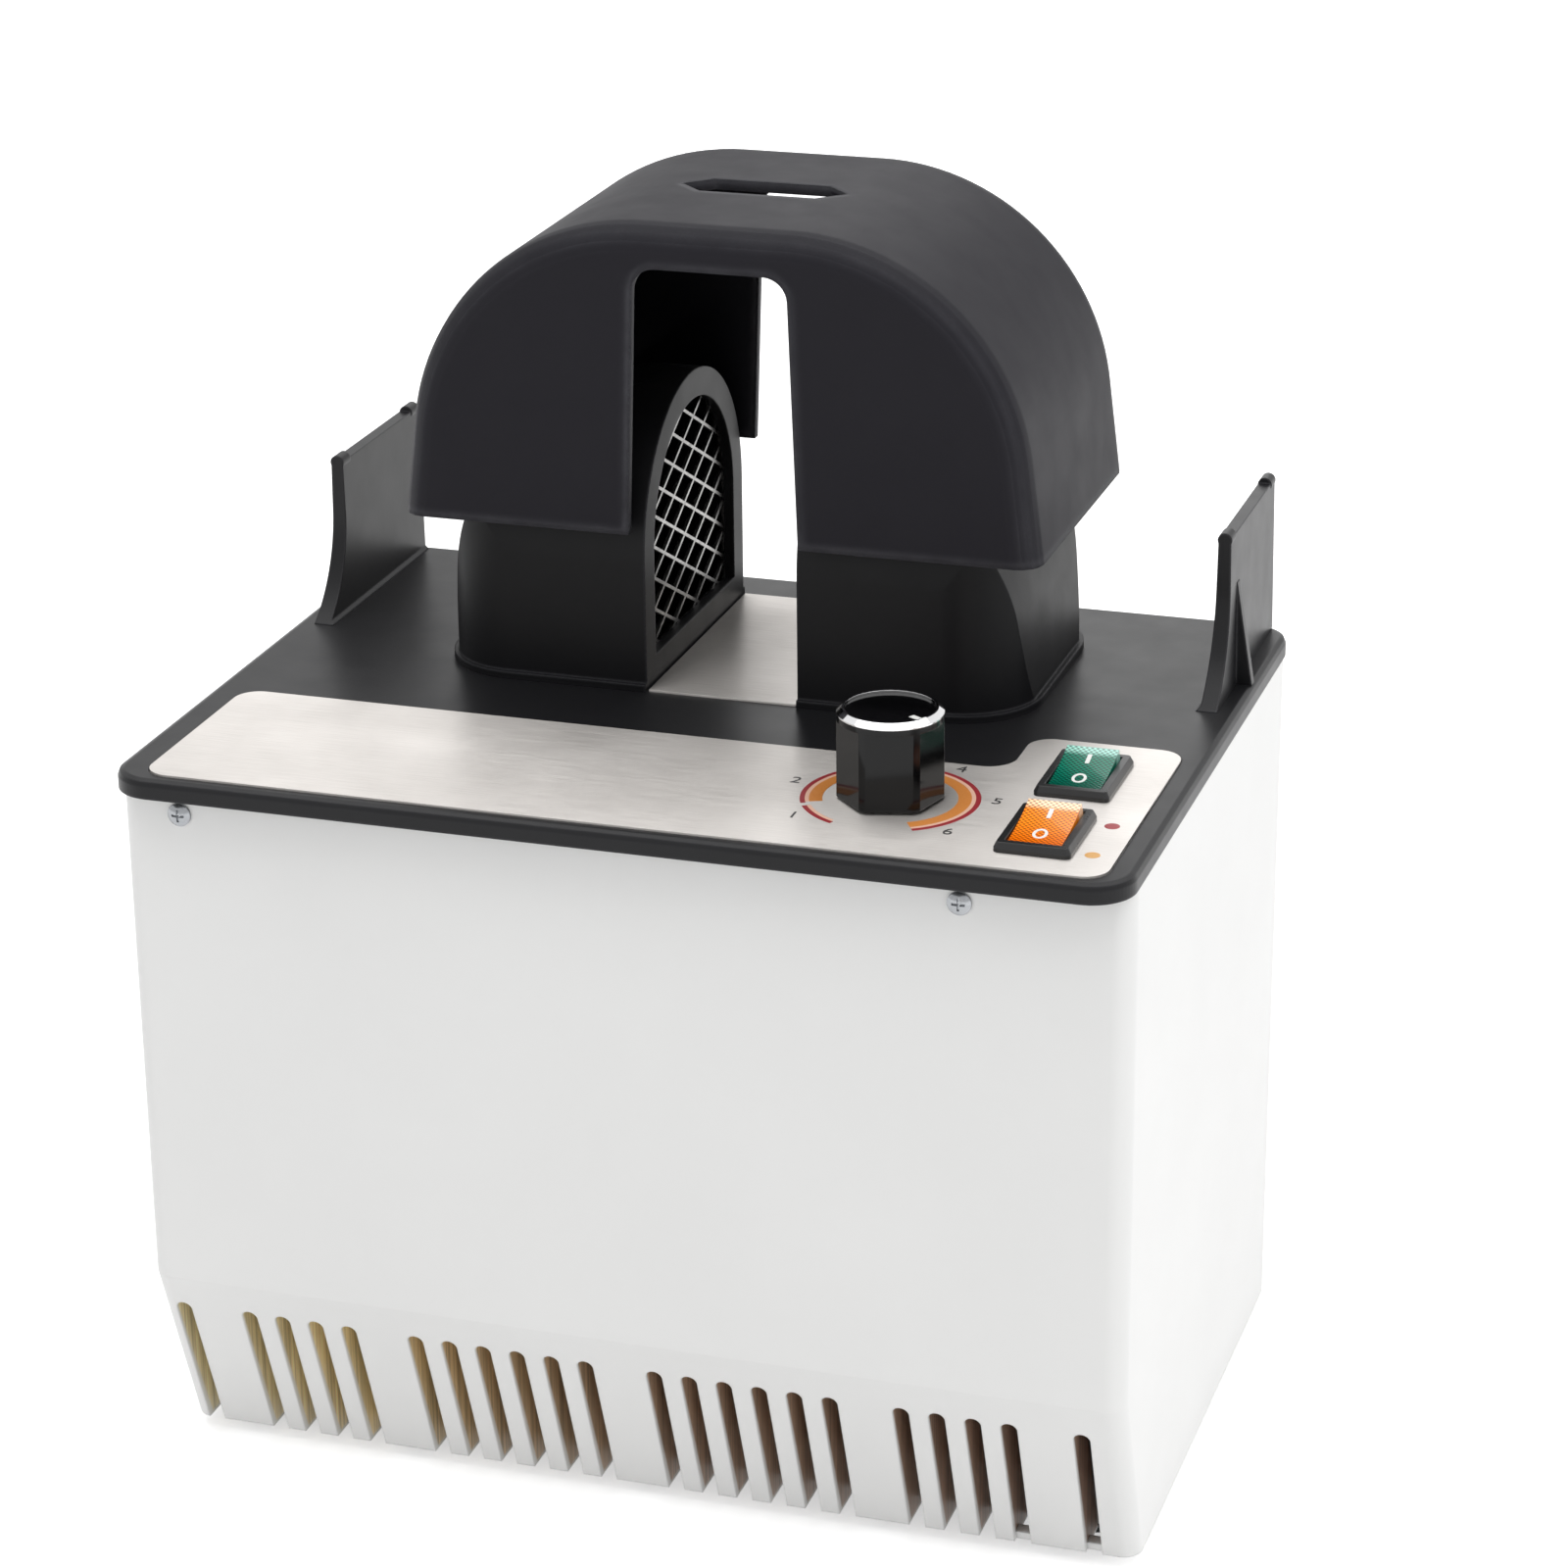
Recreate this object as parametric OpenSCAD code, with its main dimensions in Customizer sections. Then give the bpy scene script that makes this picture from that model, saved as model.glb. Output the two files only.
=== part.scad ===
// Eyeglass frame warmer for an optician's counter.
// Warm air rises through two domed nozzles on the deck and leaves through a diamond grille on the face
// that each turns to the other. A spectacle frame is held in the gap. A loose hood slides down over the
// nozzles to keep the air together. The rest pose shows the hood lifted clear of the deck.
// +X is to the right, +Y to the rear, +Z up. The origin is on the table under the middle of the casing.

/* [Casing] */
// Width of the casing
casing_w = 206; // [190:1:240]
// Depth of the casing
casing_d = 139; // [132:1:170]
// Height of the casing wall
casing_h = 150; // [140:1:200]
// Thickness of the casing wall
casing_wall = 2.6; // [2:0.1:4]
// Radius of the upright corners
casing_r = 4; // [3.5:0.5:8]
// Height above the casing's bottom edge at which the front starts to lean in
crease_h = 41; // [36:1:60]
// How far the front leans in at the bottom edge
lean_in = 15.5; // [8:0.5:20]
// Height of the feet below the casing
foot_h = 3; // [2:0.5:6]
// Diameter of a foot
foot_d = 14; // [10:1:20]

/* [Vents] */
// Width of one vent slot
vent_w = 3.4; // [2.4:0.1:4.2]
// Distance from slot to slot
vent_pitch = 7.37; // [6:0.01:7.4]
// Height of the slots above the casing's bottom edge
vent_h = 34; // [20:1:40]
// Sideways offset of the row of slots
vent_shift = -1.8; // [-3:0.1:3]
// Depth of the fins between the slots
vent_fin = 9.5; // [5:0.5:11]
// Height of the bar across the last two slots
vent_bar_h = 2; // [1:0.5:4]

/* [Deck] */
// Thickness of the deck's rim
deck_t = 4; // [3:0.5:6]
// How far the deck stands out over the front and the rear of the casing
deck_over = 6.8; // [4:0.1:10]
// Radius of the deck's corners
deck_r = 9; // [6:0.5:14]
// Depth of the skirt that drops into the casing
skirt_h = 14; // [12:1:20]
// Thickness of the skirt
skirt_t = 2.4; // [2:0.1:4]
// Height of the screws below the deck's rim
screw_drop = 5.2; // [4:0.1:8]

/* [Nozzles] */
// Clear gap between the two nozzles
gap_w = 32.4; // [28:0.2:40]
// Depth of a nozzle from front to rear
nozzle_d = 63.8; // [58:0.2:68]
// Distance from the deck's rear edge to the nozzles
nozzle_back = 13.2; // [10:0.1:16]
// Thickness of a nozzle wall
nozzle_wall = 2.2; // [1.6:0.1:3]
// Radius of the outer corners in plan
nozzle_r = 16; // [10:0.5:20]
// Width of the lip round each outlet
lip_w = 6; // [4:0.5:9]
// Height of the base flange
flange_h = 1.6; // [1:0.1:3]
// Width of the base flange
flange_w = 1.0; // [0.6:0.1:1.1]

/* [Grilles] */
// Length of one diamond
diamond_l = 13.2; // [10:0.1:16]
// Height of one diamond
diamond_h = 6.8; // [5:0.1:9]
// Width of the strands
strand_w = 0.7; // [0.5:0.1:1.2]
// Thickness of the grille sheet
grille_t = 0.8; // [0.5:0.1:1.2]

/* [Hood] */
// Width of the hood at its bottom edge
hood_w = 134.8; // [130:0.2:142]
// Height of the hood
hood_h = 64; // [60:0.5:74]
// Radius of the hood's shoulders
hood_r = 50; // [40:1:54]
// Slope of the hood's sides
hood_draft = 7; // [3:0.5:9]
// Thickness of the hood's wall
hood_wall = 2.2; // [1.6:0.1:3]
// Gap between the hood and the nozzles
hood_fit = 2.5; // [1.2:0.1:3]
// Radius of the hood's front and rear edges
hood_edge_r = 5; // [3.5:0.5:8]
// Height at which the hood is held over the deck
hood_lift = 35; // [30:1:56]
// Width of the front window at the hood's bottom edge
window_w = 36; // [30:0.2:42]
// Width of the rear window at the hood's bottom edge
rear_window_w = 28; // [18:0.5:34]
// How much narrower the windows are at their top
window_taper = 4; // [1:0.5:6]
// Height of the windows
window_h = 55.5; // [44:0.5:57]
// Radius of the windows' upper corners
window_r = 5; // [3:0.5:8]
// Length of the slot in the hood's top
grip_l = 35; // [30:0.5:44]
// Width of the slot in the hood's top
grip_w = 10.4; // [8:0.2:16]

/* [Side rests] */
// Height of a side rest
rest_h = 34.3; // [24:0.5:44]
// Length of a side rest along the deck
rest_l = 43; // [34:1:48]
// Thickness of a side rest
rest_t = 2.6; // [2:0.1:4]
// Distance of a side rest from the deck's side edge
rest_in = 6; // [5.9:0.1:9]
// Reach of the sweep at a side rest's foot
rest_reach = 12; // [6:0.5:14]
// Height at which a side rest starts to sweep out
rest_sweep_h = 22; // [14:0.5:23]
// Height of the pips at both ends of a side rest over the edge between them
rest_pip = 1.2; // [0.6:0.1:2]

/* [Controls] */
// Thickness of the control plate
plate_t = 0.8; // [0.5:0.1:1.2]
// Distance from the deck's left edge to the plate
plate_left = 7; // [4:0.5:12]
// Distance from the deck's right edge to the plate
plate_right = 5; // [4:0.5:8]
// Depth of the control plate
plate_d = 49.5; // [46:0.5:52]
// Distance from the deck's front edge to the plate
plate_in = 3; // [2:0.5:4]
// Width of the plate's rear tab at the switches
tab_w = 31; // [28:0.5:34]
// Depth of the plate's rear tab
tab_d = 18.5; // [16:0.5:24]
// Diameter of the knob
knob_d = 20.8; // [18:0.2:26]
// Height of the knob
knob_h = 18.2; // [14:0.2:22]
// Number of flats round the knob
knob_panels = 6; // [4:1:10]
// Diameter of the regulator's shaft
shaft_d = 6; // [5:0.5:7]
// Width of a switch bezel
bezel_w = 15; // [14.4:0.2:16]
// Length of a switch bezel
bezel_l = 22; // [20:0.5:24]
// Height of a switch bezel above the plate
bezel_h = 2; // [1.5:0.1:3]
// Distance from switch to switch
switch_pitch = 30; // [27:0.5:32]
// Half of a rocker's throw in degrees
rocker_tilt = 9; // [6:1:11]
// Radius of the hollow in a rocker's face
dish_r = 55; // [40:1:90]

/* [Air path] */
// Outside width of the fan's frame
fan_w = 92; // [80:1:94]
// Thickness of the fan's frame
fan_t = 25; // [20:1:30]
// Number of fan blades
fan_blades = 7; // [5:1:9]
// Height of the duct between the deck and the fan
duct_h = 53; // [46:1:56]
// Height of the duct's straight upper part
duct_top_h = 23; // [20:1:26]
// Thickness of the duct's sheet
duct_t = 0.9; // [0.6:0.1:1.4]

/* [Hidden] */
$fn = 64;
eps = 0.01;
// Gap left between pieces that only seat on each other
seat = 0.3;
// Radial gap of a shaft or pin that turns in a bore
run_gap = 0.05;
black = "#2c2c2e";
steel = "#cfcecb";

// Heights
casing_top = foot_h + casing_h;
deck_top = casing_top + deck_t;
deck_w = casing_w;
deck_d = casing_d + 2*deck_over;
nozzle_y = deck_d/2 - nozzle_back - nozzle_d/2;
inner_w = casing_w - 2*casing_wall;
inner_d = casing_d - 2*casing_wall;
lean = atan(lean_in/crease_h);

// Profile shared by the hood and the nozzles
shoulder_z = hood_h - hood_r;
shoulder_x = hood_w/2 - hood_r/cos(hood_draft) - shoulder_z*tan(hood_draft);
nozzle_inset = hood_wall + hood_fit;
nozzle_h = hood_h - nozzle_inset;
hood_d = nozzle_d + 2*nozzle_inset;
hood_z = deck_top + hood_lift;
grille_x = gap_w/2 + nozzle_wall;
grille_fit = 0.4;
grille_lap = 2.5;

// Vents
vent_groups = [1, 4, 6, 6, 4, 1];
function slots_before(g) = g == 0 ? 0 : slots_before(g - 1) + vent_groups[g - 1];
vent_last = slots_before(len(vent_groups)) + len(vent_groups) - 2;
vent_xs = [for (g = [0:len(vent_groups) - 1]) for (k = [0:vent_groups[g] - 1])
    (slots_before(g) + g + k - vent_last/2)*vent_pitch + vent_shift];
// Between two groups one slot is left out. Its place is cored from behind.
vent_cores = [for (g = [1:len(vent_groups) - 1])
    (slots_before(g) + g - 1 - vent_last/2)*vent_pitch + vent_shift];
vent_top = foot_h + vent_h + 1.5;
// Where the leaning front stands at a height, at a depth behind its face
function front_y(z, deep) = -casing_d/2 + lean_in*(1 - (z - foot_h)/crease_h) + deep/cos(lean);

// Screws
screw_z = casing_top - screw_drop;
screw_xs = [-casing_w/2 + 13, casing_w/2 - 33.5];
screw_r = 1.2;

// Controls
plate_w = deck_w - plate_left - plate_right;
plate_x = (plate_left - plate_right)/2;
plate_y = -deck_d/2 + plate_in + plate_d/2;
plate_z = deck_top - plate_t/2;
plate_top = plate_z + plate_t;
tab_x = plate_x + plate_w/2 - tab_w/2;
switch_x = tab_x - 0.2;
switch_y = plate_y + plate_d/2 - 1.6;
knob_x = switch_x - 33.4;
knob_y = plate_y + 3.4;
knob_z = plate_top + 0.6;
bush_r = shaft_d/2 + 1;
case_w = bezel_w - 2.2;
case_l = bezel_l - 2.4;
rocker_r = case_l/2 - 1.1;
rocker_w = case_w - 2.4;
pin_r = 1;
pin_l = 0.9;
pivot_z = plate_top + bezel_h - 2.6;
rocker_up = 2.9;
rocker_drop = 3;
case_h = 14;
plate_r = 5;
sweep_r = 6;
ring_h = 1.2;
ring_w = 1.5;
knob_hollow = 8;
knob_turn = -15;
knob_flat_r = 0.45*knob_d;
knob_collar = 1.2;
nut_h = 2.4;
bush_top = plate_top + 5;
regulator_w = 24;
regulator_h = 13;
lug_w = 2.4;
lug_l = 5;
lug_t = 0.8;
lug_pitch = 5;
shaft_bottom = casing_top - regulator_h + 2;
blade_w = 4.8;
blade_l = 8;
blade_t = 0.8;
blade_pitch = 6;
board_w = 60;
board_d = 30;
board_t = 1.6;
board_x = -20;
board_in = 30;
board_drop = 14;
board_y = -casing_d/2 + board_in;
board_z = casing_top - board_drop;
post_r = 2.8;
post_h = 2;
choke_d = 14;
choke_h = 8;
film_l = 16;
film_w = 8;
film_h = 12;
sink_w = 7;
sink_l = 18;
sink_h = 16;
board_posts_at = [for (x = [-1, 1], y = [-1, 1]) [x*(board_w/2 - 4), y*(board_d/2 - 4)]];

// Air path
duct_x = hood_w/2 - nozzle_inset - 10.7;
duct_y = nozzle_d/2 - 3.5;
duct_z = casing_top - seat - duct_h;
fan_y = nozzle_y - 20;
fan_r = fan_w/2 - 3;
fan_z = duct_z - fan_t;
fan_hub_r = 17;
fan_hole = fan_w/2 - 4.6;
duct_flange = 6;
duct_knee = duct_h - duct_top_h;
duct_foot = 10;
duct_ear = 18;
duct_screw_places = [for (x = [-1, 1], y = [-1, 1])
    [x*(duct_x + duct_flange/2), nozzle_y + y*(duct_ear - 4)]];
fan_screw_places = [for (x = [-1, 1], y = [-1, 1]) [x*fan_hole, fan_y + y*fan_hole]];
nozzle_screw_places = [for (x = [-1, 1], y = [-1, 1])
    [x*(hood_w/2 - nozzle_inset - 7.4), nozzle_y + y*(nozzle_d/2 - 7.9)]];
nozzle_screw_in = 5;
motor_h = 12;
heater_x = duct_x - duct_t - 1;
heater_y = duct_y - duct_t - 1.6;
heater_h = 14;
heater_z = casing_top - duct_top_h + 2;
ribbon_rows = 7;
ribbon_h = 6;
ribbon_t = 0.6;
function ribbon_at(j) = (j - (ribbon_rows - 1)/2)*(2*heater_y - 6)/(ribbon_rows - 1);
spindle_r = 2;
cutout_d = 16;
cutout_h = 7;
cutout_drop = 12;

// Half width of the arched outline at its foot
function arch_reach(inset, drop) = shoulder_x + (hood_r - inset)/cos(hood_draft)
    + (shoulder_z + drop)*tan(hood_draft);

// Base and feet
base_t = 1.2;
base_top = foot_h + 2;
base_edge_h = 9;
base_edge_w = inner_w - 8;
base_front = front_y(base_top - base_t, vent_fin) + seat;
boss_d = 9;
boss_h = 12;
foot_screw_r = 1.5;
foot_seat = 2;
foot_places = [for (x = [-1, 1], y = [front_y(foot_h, vent_fin) + foot_d/2 + 1.5, casing_d/2 - foot_d])
    [x*(casing_w/2 - 13), y]];

// Deck
deck_round = 1.4;
screw_l = 7;
rest_x = deck_w/2 - rest_in;
rest_back = deck_d/2 - 2.3;
rest_front = rest_back - rest_l;
rest_foot = rest_t/2 + 0.5;
rest_rib_y = rest_front + 0.17*rest_l;
pip_r = rest_t/2 + 0.2;
pip_l = 4;
tab_l = 5;
rest_tabs = [rest_front + 6, inner_d/2 - seat - skirt_t - tab_l/2 - 1];
tab_h = deck_t + 2;
air_w = duct_x - duct_t - 1.7 - grille_x;

// Rear cord entry
gland_side = 34;
gland_x = -casing_w/2 + gland_side;
gland_z = foot_h + 22;
gland_r = 3.5;
gland_neck_r = gland_r + 1.8;
gland_out = 4.5;
gland_in = 5;

// Terminal block
term_w = 32;
term_d = 18;
term_h = 14;
term_pitch = 10;
term_side = 24;
term_back = 26;
term_x = gland_x + term_side;
term_y = inner_d/2 - term_back;

// ---------- shared shapes ----------

module round_rect(w, d, r) {
    square([w - 2*r, d], center = true);
    square([w, d - 2*r], center = true);
    for (x = [-1, 1], y = [-1, 1]) translate([x*(w/2 - r), y*(d/2 - r)]) circle(r);
}

// A flat shape drawn in X and Z, drawn out along Y
module along_y(y0, y1) translate([0, y1, 0]) rotate([90, 0, 0]) linear_extrude(y1 - y0) children();

// A flat shape drawn in Y and Z, drawn out along X
module along_x(x0, x1) translate([x0, 0, 0]) rotate([90, 0, 90]) linear_extrude(x1 - x0) children();

module bar(x0, x1, y0, y1, z0, z1) translate([x0, y0, z0]) cube([x1 - x0, y1 - y0, z1 - z0]);

// Pan head with a cross recess, its seat at z = 0 and the shank below
module pan_screw(r, l) {
    difference() {
        intersection() {
            cylinder(r = 2*r, h = 1.1*r);
            translate([0, 0, -2.1*r]) sphere(3.2*r);
        }
        for (a = [0, 90]) rotate(a) translate([-1.1*r, -0.2*r, 0.55*r]) cube([2.2*r, 0.4*r, r]);
    }
    translate([0, 0, -l]) cylinder(r = r, h = l + eps);
}

// Right half of the arched outline of hood and nozzles, brought in by an even inset. Its foot can reach
// lower by drop, so that a hollow cut with it is open below.
module arch_half(inset, drop = 0) {
    r = hood_r - inset;
    polygon([[0, -drop], [arch_reach(inset, drop), -drop],
        [shoulder_x + r*cos(hood_draft), shoulder_z + r*sin(hood_draft)],
        [shoulder_x, shoulder_z], [shoulder_x, shoulder_z + r], [0, shoulder_z + r]]);
    intersection() {
        translate([shoulder_x, shoulder_z]) circle(r, $fn = 128);
        translate([shoulder_x - eps, shoulder_z]) square(r + 1);
    }
}

module arch(inset, drop = 0) {
    arch_half(inset, drop);
    mirror([1, 0]) arch_half(inset, drop);
}

// ---------- casing and base ----------

// Form of the casing, brought in by an even inset and longer at both ends than the wall itself
module casing_form(inset) {
    w = casing_w - 2*inset;
    r = max(casing_r - inset, 0.5);
    intersection() {
        translate([0, 0, foot_h - 2]) linear_extrude(casing_h + 4) round_rect(w, casing_d - 2*inset, r);
        translate([0, -casing_d/2, foot_h + crease_h]) rotate([lean, 0, 0])
            translate([0, casing_d + inset, -2*casing_h]) linear_extrude(5*casing_h) {
                // The leaning front's edges are round outside and sharp inside
                if (inset > 0) square([2*w, 2*casing_d], center = true);
                else round_rect(w, 2*casing_d, r);
            }
    }
}

// One slot, open at the casing's bottom edge and round at its top
module vent_slot() {
    along_y(-casing_d/2 - 1, front_y(foot_h, vent_fin) + 1) {
        translate([-vent_w/2, foot_h - 3]) square([vent_w, vent_h + 3 - vent_w/2]);
        translate([0, foot_h + vent_h - vent_w/2]) circle(vent_w/2);
    }
}

// Places its children on the two front and the two rear screws, with +Z pointing out of the wall
module at_casing_screws() {
    for (x = screw_xs, s = [0, 1]) rotate(180*s) translate([x, -casing_d/2, screw_z])
        rotate([90, 0, 0]) children();
}

// Rail that runs the whole width behind the leaning front
module front_rail(deep0, deep1, z1) intersection() {
    casing_form(0);
    along_x(-inner_w/2 - 1, inner_w/2 + 1) polygon([[front_y(foot_h, deep0), foot_h],
        [front_y(foot_h, deep1), foot_h], [front_y(z1, deep1), z1], [front_y(z1, deep0), z1]]);
}

module casing() color("#f2f2f0") {
    vented_casing();
    // Low bar behind the last two slots
    intersection() {
        front_rail(1.2, 4, foot_h + vent_bar_h);
        bar(vent_xs[len(vent_xs) - 2] - vent_w, inner_w/2, -casing_d, casing_d, 0, casing_top);
    }
}

module vented_casing() difference() {
    union() {
        difference() {
            intersection() {
                casing_form(0);
                bar(-casing_w, casing_w, -casing_d, casing_d, foot_h, casing_top);
            }
            casing_form(casing_wall);
        }
        // The slots cut this rail into fins
        front_rail(1.2, vent_fin, vent_top);
        // Bosses that the base plate is screwed up against, each on a web from the side wall
        for (p = foot_places) {
            translate([p[0], p[1], base_top]) cylinder(d = boss_d, h = boss_h);
            bar(min(p[0], sign(p[0])*(inner_w/2 + 1)), max(p[0], sign(p[0])*(inner_w/2 + 1)),
                p[1] - 1.2, p[1] + 1.2, base_top, base_top + boss_h);
        }
    }
    for (x = vent_xs) translate([x, 0, 0]) vent_slot();
    for (x = vent_cores) along_x(x - vent_w/2, x + vent_w/2) polygon([
        [front_y(foot_h - 1, casing_wall), foot_h - 1],
        [front_y(foot_h - 1, vent_fin + 1), foot_h - 1],
        [front_y(vent_top + 1, vent_fin + 1), vent_top + 1],
        [front_y(vent_top + 1, casing_wall), vent_top + 1]]);
    for (p = foot_places) translate([p[0], p[1], base_top - 1]) cylinder(r = foot_screw_r, h = boss_h - 1);
    at_casing_screws() cylinder(r = screw_r + 0.2, h = 4*casing_wall, center = true);
    translate([gland_x, casing_d/2, gland_z]) rotate([90, 0, 0])
        cylinder(r = gland_neck_r, h = 4*casing_wall, center = true);
}

// Pressed plate with an edge turned up behind the vents
module base_plate() color("#e6e6e2") difference() {
    union() {
        intersection() {
            casing_form(casing_wall + seat);
            bar(-casing_w, casing_w, base_front, casing_d, base_top - base_t, base_top);
        }
        bar(-base_edge_w/2, base_edge_w/2, base_front, base_front + base_t,
            base_top - eps, base_top + base_edge_h);
    }
    for (p = foot_places) translate([p[0], p[1], 0]) cylinder(r = foot_screw_r + 0.2, h = 2*base_top);
}

module feet() color("#262626") for (p = foot_places) translate([p[0], p[1], 0]) difference() {
    union() {
        cylinder(d = foot_d - 2, h = 1 + eps);
        translate([0, 0, 1]) cylinder(d = foot_d, h = base_top - base_t - 1);
    }
    translate([0, 0, -1]) cylinder(r = 2*foot_screw_r + 0.3, h = 1 + foot_seat);
    cylinder(r = foot_screw_r + 0.2, h = base_top);
}

module foot_screws() color("silver") for (p = foot_places)
    translate([p[0], p[1], foot_seat]) mirror([0, 0, 1]) pan_screw(foot_screw_r, boss_h - 1);

// ---------- deck ----------

module deck_outline(inset) round_rect(deck_w - 2*inset, deck_d - 2*inset, deck_r - inset);

module deck() color(black) difference() {
    union() {
        hull() {
            translate([0, 0, casing_top]) linear_extrude(deck_t - deck_round) deck_outline(0);
            translate([0, 0, casing_top]) linear_extrude(deck_t - 0.3*deck_round)
                deck_outline(0.3*deck_round);
            translate([0, 0, casing_top]) linear_extrude(deck_t) deck_outline(deck_round);
        }
        translate([0, 0, casing_top - skirt_h]) linear_extrude(skirt_h + 1) difference() {
            round_rect(inner_w - 2*seat, inner_d - 2*seat, 2);
            round_rect(inner_w - 2*seat - 2*skirt_t, inner_d - 2*seat - 2*skirt_t, 1);
        }
        at_casing_screws() translate([0, 0, -casing_wall - seat - screw_l]) cylinder(r = 3.6, h = screw_l);
    }
    // Recesses for the two plates
    translate([0, 0, plate_z]) linear_extrude(deck_t) plate_outline(0.15);
    translate([0, nozzle_y, plate_z]) linear_extrude(deck_t)
        square([gap_w - 0.4, nozzle_d + 0.3], center = true);
    // Warm air passes up into the nozzles
    for (s = [-1, 1]) translate([s*(grille_x + air_w/2), nozzle_y, 0]) linear_extrude(2*casing_top)
        round_rect(air_w, 2*duct_y - 8, 4);
    for (y = [0, -switch_pitch]) translate([switch_x, switch_y + y, 0])
        linear_extrude(2*casing_top) square([case_w + 0.4, case_l + 0.4], center = true);
    translate([knob_x, knob_y, 0]) cylinder(r = bush_r + 0.2, h = 2*casing_top);
    at_casing_screws() translate([0, 0, -casing_wall - screw_l]) cylinder(r = screw_r, h = 2*screw_l);
    for (p = duct_screw_places) translate([p[0], p[1], casing_top - 2]) cylinder(r = screw_r, h = 4);
    for (p = nozzle_screw_places) translate([p[0], p[1], 0]) cylinder(r = screw_r + 0.2, h = 2*casing_top);
    for (s = [-1, 1], y = rest_tabs) translate([s*rest_x, y, 0])
        translate([0, 0, deck_top - tab_h - seat]) linear_extrude(2*tab_h)
        square([rest_t + 0.2, tab_l + 0.2], center = true);
}

module casing_screws() color("silver") at_casing_screws() pan_screw(screw_r, casing_wall + screw_l - 0.5);

// Side view of a rest, whose front edge sweeps out towards the deck
module rest_side() {
    r = (rest_reach*rest_reach + rest_sweep_h*rest_sweep_h)/(2*rest_reach);
    difference() {
        union() {
            translate([rest_front, 0]) square([rest_back - rest_front, rest_h - rest_pip]);
            translate([rest_front - rest_reach - 1, 0]) square([rest_reach + 1 + eps, rest_sweep_h]);
        }
        translate([rest_front - r, rest_sweep_h]) circle(r, $fn = 128);
    }
}

// Upright rest with a round pip at each end of its top edge and a straight rib on its outer face
module rest() {
    intersection() {
        along_x(-rest_foot - 1, rest_foot + 1) rest_side();
        along_y(rest_front - rest_reach - 2, rest_back) polygon([[-rest_foot - 0.8, 0], [-rest_foot, 0.8],
            [-rest_t/2, rest_h], [rest_t/2, rest_h], [rest_foot, 0]]);
    }
    for (y = [rest_front, rest_back - pip_l])
        along_y(y, y + pip_l) translate([0, rest_h - pip_r]) circle(pip_r);
    along_y(rest_rib_y - 1.1, rest_rib_y + 1.1)
        polygon([[0, 0], [rest_in - 0.8, 0], [rest_t/2 + 0.3, rest_sweep_h], [0, rest_sweep_h]]);
    for (y = rest_tabs) bar(-rest_t/2, rest_t/2, y - tab_l/2, y + tab_l/2, -tab_h, eps);
}

module right_rest() color(black) translate([rest_x, 0, deck_top]) rest();
module left_rest() color(black) mirror([1, 0, 0]) translate([rest_x, 0, deck_top]) rest();

// ---------- nozzles ----------

// Dome seen from the side: straight below, half round above
module dome_outline(inset, drop = 0) {
    r = nozzle_d/2 - inset;
    translate([-r, -drop]) square([2*r, nozzle_h - nozzle_d/2 + drop]);
    intersection() {
        translate([0, nozzle_h - nozzle_d/2]) circle(r, $fn = 128);
        translate([-r, 0]) square([2*r, nozzle_h]);
    }
}

// Plan of the right nozzle: square towards the gap, round at its outer corners
module nozzle_plan(inset) {
    reach = arch_reach(nozzle_inset + inset, 0);
    intersection() {
        round_rect(2*reach, nozzle_d - 2*inset, nozzle_r - inset);
        translate([gap_w/2 + max(inset, 0), -nozzle_d]) square([reach, 2*nozzle_d]);
    }
}

module nozzle_form(inset, drop = 0) intersection() {
    along_y(-nozzle_d/2 + inset, nozzle_d/2 - inset) arch_half(nozzle_inset + inset, drop);
    along_x(0, hood_w) dome_outline(inset, drop);
    translate([0, 0, -drop]) linear_extrude(nozzle_h + drop) nozzle_plan(inset);
}

module nozzle() difference() {
    union() {
        nozzle_form(0);
        linear_extrude(flange_h) nozzle_plan(-flange_w);
        for (p = nozzle_screw_places) if (p[0] > 0) intersection() {
            translate([p[0], p[1] - nozzle_y, 0]) cylinder(r = 3.4, h = 8);
            nozzle_form(0.5);
        }
    }
    difference() {
        nozzle_form(nozzle_wall, 1);
        for (p = nozzle_screw_places) if (p[0] > 0)
            translate([p[0], p[1] - nozzle_y, 0]) cylinder(r = 3.4, h = 8);
    }
    for (p = nozzle_screw_places) if (p[0] > 0)
        translate([p[0], p[1] - nozzle_y, -1]) cylinder(r = screw_r, h = 7);
    along_x(gap_w/2 - 1, grille_x + 0.5) intersection() {
        dome_outline(lip_w);
        translate([-nozzle_d/2, lip_w]) square([nozzle_d, nozzle_h]);
    }
}

module right_nozzle() color(black) translate([0, nozzle_y, deck_top]) nozzle();
module left_nozzle() color(black) mirror([1, 0, 0]) translate([0, nozzle_y, deck_top]) nozzle();

// Expanded sheet: a lattice of diamonds inside a plain rim, behind the outlet's lip
module grille() {
    slope = atan(diamond_h/diamond_l);
    a = diamond_l/2 - strand_w/2/sin(slope);
    b = diamond_h/2 - strand_w/2/cos(slope);
    cols = ceil(nozzle_d/diamond_l/2) + 1;
    rows = ceil(nozzle_h/diamond_h) + 1;
    along_x(grille_x, grille_x + grille_t) difference() {
        intersection() {
            dome_outline(nozzle_wall + grille_fit);
            translate([-nozzle_d/2, lip_w - grille_lap]) square([nozzle_d, nozzle_h]);
        }
        intersection() {
            union() for (i = [-cols:cols], j = [0:rows], k = [0, 0.5])
                translate([(i + k)*diamond_l, (j + k)*diamond_h])
                polygon([[-a, 0], [0, -b], [a, 0], [0, b]]);
            dome_outline(lip_w - 0.4);
            translate([-nozzle_d/2, lip_w - 0.4]) square([nozzle_d, nozzle_h]);
        }
    }
}

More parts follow.
